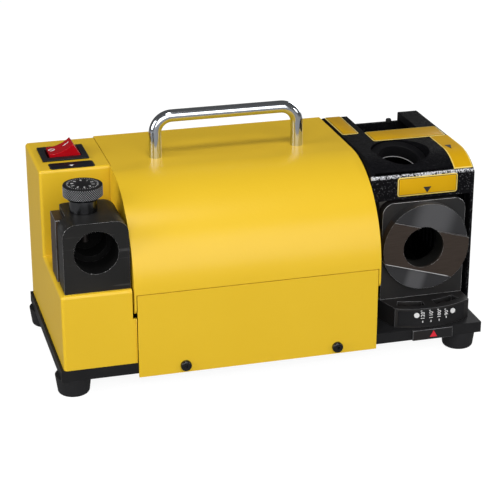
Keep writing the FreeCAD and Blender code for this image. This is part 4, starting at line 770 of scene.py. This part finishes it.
def notch_pin():
    radius, tall, dome, place = 0.0023, 0.0030, 0.0012, spot(137.1, 71.6, 140.6)
    bpy.ops.mesh.primitive_cylinder_add(vertices=24, radius=radius, depth=tall, location=place)
    pin = bpy.context.active_object
    bpy.ops.object.transform_apply(location=True)
    bpy.ops.object.mode_set(mode="EDIT")
    choose(pin, lambda centre, normal: normal.z > 0.9)
    bpy.ops.mesh.bevel(offset=dome, segments=4, affect="EDGES")
    bpy.ops.object.mode_set(mode="OBJECT")
    finished(pin, "notch_pin", LOOKS["black_paint"], "frame")


def housing_edge():
    """The folded edge of the left housing, which narrows the seam beside the front panel."""
    low, high = (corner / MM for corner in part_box("left_housing"))
    width, tall, deep, recess = 0.75, 34.7, 2.8, 0.15
    place = (high.x + width / 2, low.y + recess + deep / 2, low.z + tall / 2)
    fold = slab((width, tall, deep), 0.12, 0.12, place, (90, 0, 0))
    finished(fold, "housing_edge_fold", LOOKS["yellow_paint"], "frame")


handle_bar()
housing_edge()
dial()
labels()
scale_marks()
switch_marks()
notch_pin()


# Camera, floor and lights
def studio():
    scene = bpy.context.scene
    scene.view_settings.view_transform = "Standard"
    camera = bpy.data.objects.new("camera", bpy.data.cameras.new("camera"))
    scene.collection.objects.link(camera)
    camera.location = spot(-309.75, -1113.2, 538.4)
    camera.rotation_euler = Euler((math.radians(67.93), 0, math.radians(-15.58)))
    camera.data.sensor_width = 36
    camera.data.lens = 117.13
    scene.camera = camera
    bpy.ops.mesh.primitive_plane_add(size=8)
    floor = bpy.context.active_object
    floor.name = "floor"
    paint = Paint("white_floor")
    seen = paint.node("ShaderNodeLightPath", out="Is Camera Ray")
    mirrored = (paint.node("ShaderNodeLightPath", out="Is Glossy Ray")
                + paint.node("ShaderNodeLightPath", out="Is Transmission Ray"))
    paint.surface_values(base_color=paint.mixed(seen, (0.20, 0.20, 0.20), (0.80, 0.80, 0.80)), roughness=0.9)
    glow = paint.node("ShaderNodeEmission", {}, {"Color": (1, 1, 1, 1), "Strength": 1.3})
    lit = Wire(paint, paint.surface.outputs[0])
    white = paint.node("ShaderNodeMixShader", {}, {0: 0.7 * seen + 0.1 * mirrored, 1: lit, 2: glow})
    paint.feed(paint.tree.nodes["Material Output"].inputs[0], white)
    floor.data.materials.append(paint.material)
    world = bpy.data.worlds.new("studio")
    scene.world = world
    world.use_nodes = True
    sky = world.node_tree
    back = sky.nodes["Background"]
    back.inputs[0].default_value = (1, 1, 1, 1)
    ray = sky.nodes.new("ShaderNodeLightPath")
    faint = sky.nodes.new("ShaderNodeMath")
    faint.operation = "MULTIPLY_ADD"
    mirror_glow, sky_glow = 0.03, 0.08
    faint.inputs[1].default_value = mirror_glow
    faint.inputs[2].default_value = sky_glow
    strength = sky.nodes.new("ShaderNodeMath")
    strength.operation = "ADD"
    bent = sky.nodes.new("ShaderNodeMath")
    bent.operation = "ADD"
    sky.links.new(ray.outputs["Is Glossy Ray"], bent.inputs[0])
    sky.links.new(ray.outputs["Is Transmission Ray"], bent.inputs[1])
    sky.links.new(bent.outputs[0], faint.inputs[0])
    sky.links.new(faint.outputs[0], strength.inputs[0])
    sky.links.new(ray.outputs["Is Camera Ray"], strength.inputs[1])
    sky.links.new(strength.outputs[0], back.inputs[1])
    for name, place, aim, size, power in (
            ("front_softbox", (-150, -1500, 720), (0, 0, 80), (1900, 1200), 22),
            ("left_softbox", (-1400, -250, 600), (-100, 0, 80), (800, 800), 11),
            ("overhead_lamp", (-100, -600, 1500), (0, 0, 100), (320, 320), 7),
            ("right_softbox", (1100, -700, 450), (60, 0, 80), (300, 300), 2),
            ("rear_softbox", (1350, 1250, 520), (0, 0, 80), (900, 900), 13)):
        lamp = bpy.data.objects.new(name, bpy.data.lights.new(name, "AREA"))
        scene.collection.objects.link(lamp)
        lamp.location = spot(*place)
        lamp.rotation_euler = (spot(*aim) - lamp.location).to_track_quat("-Z", "Y").to_euler()
        lamp.data.shape = "RECTANGLE"
        lamp.data.size, lamp.data.size_y = size[0] * MM, size[1] * MM
        lamp.data.energy = power


studio()
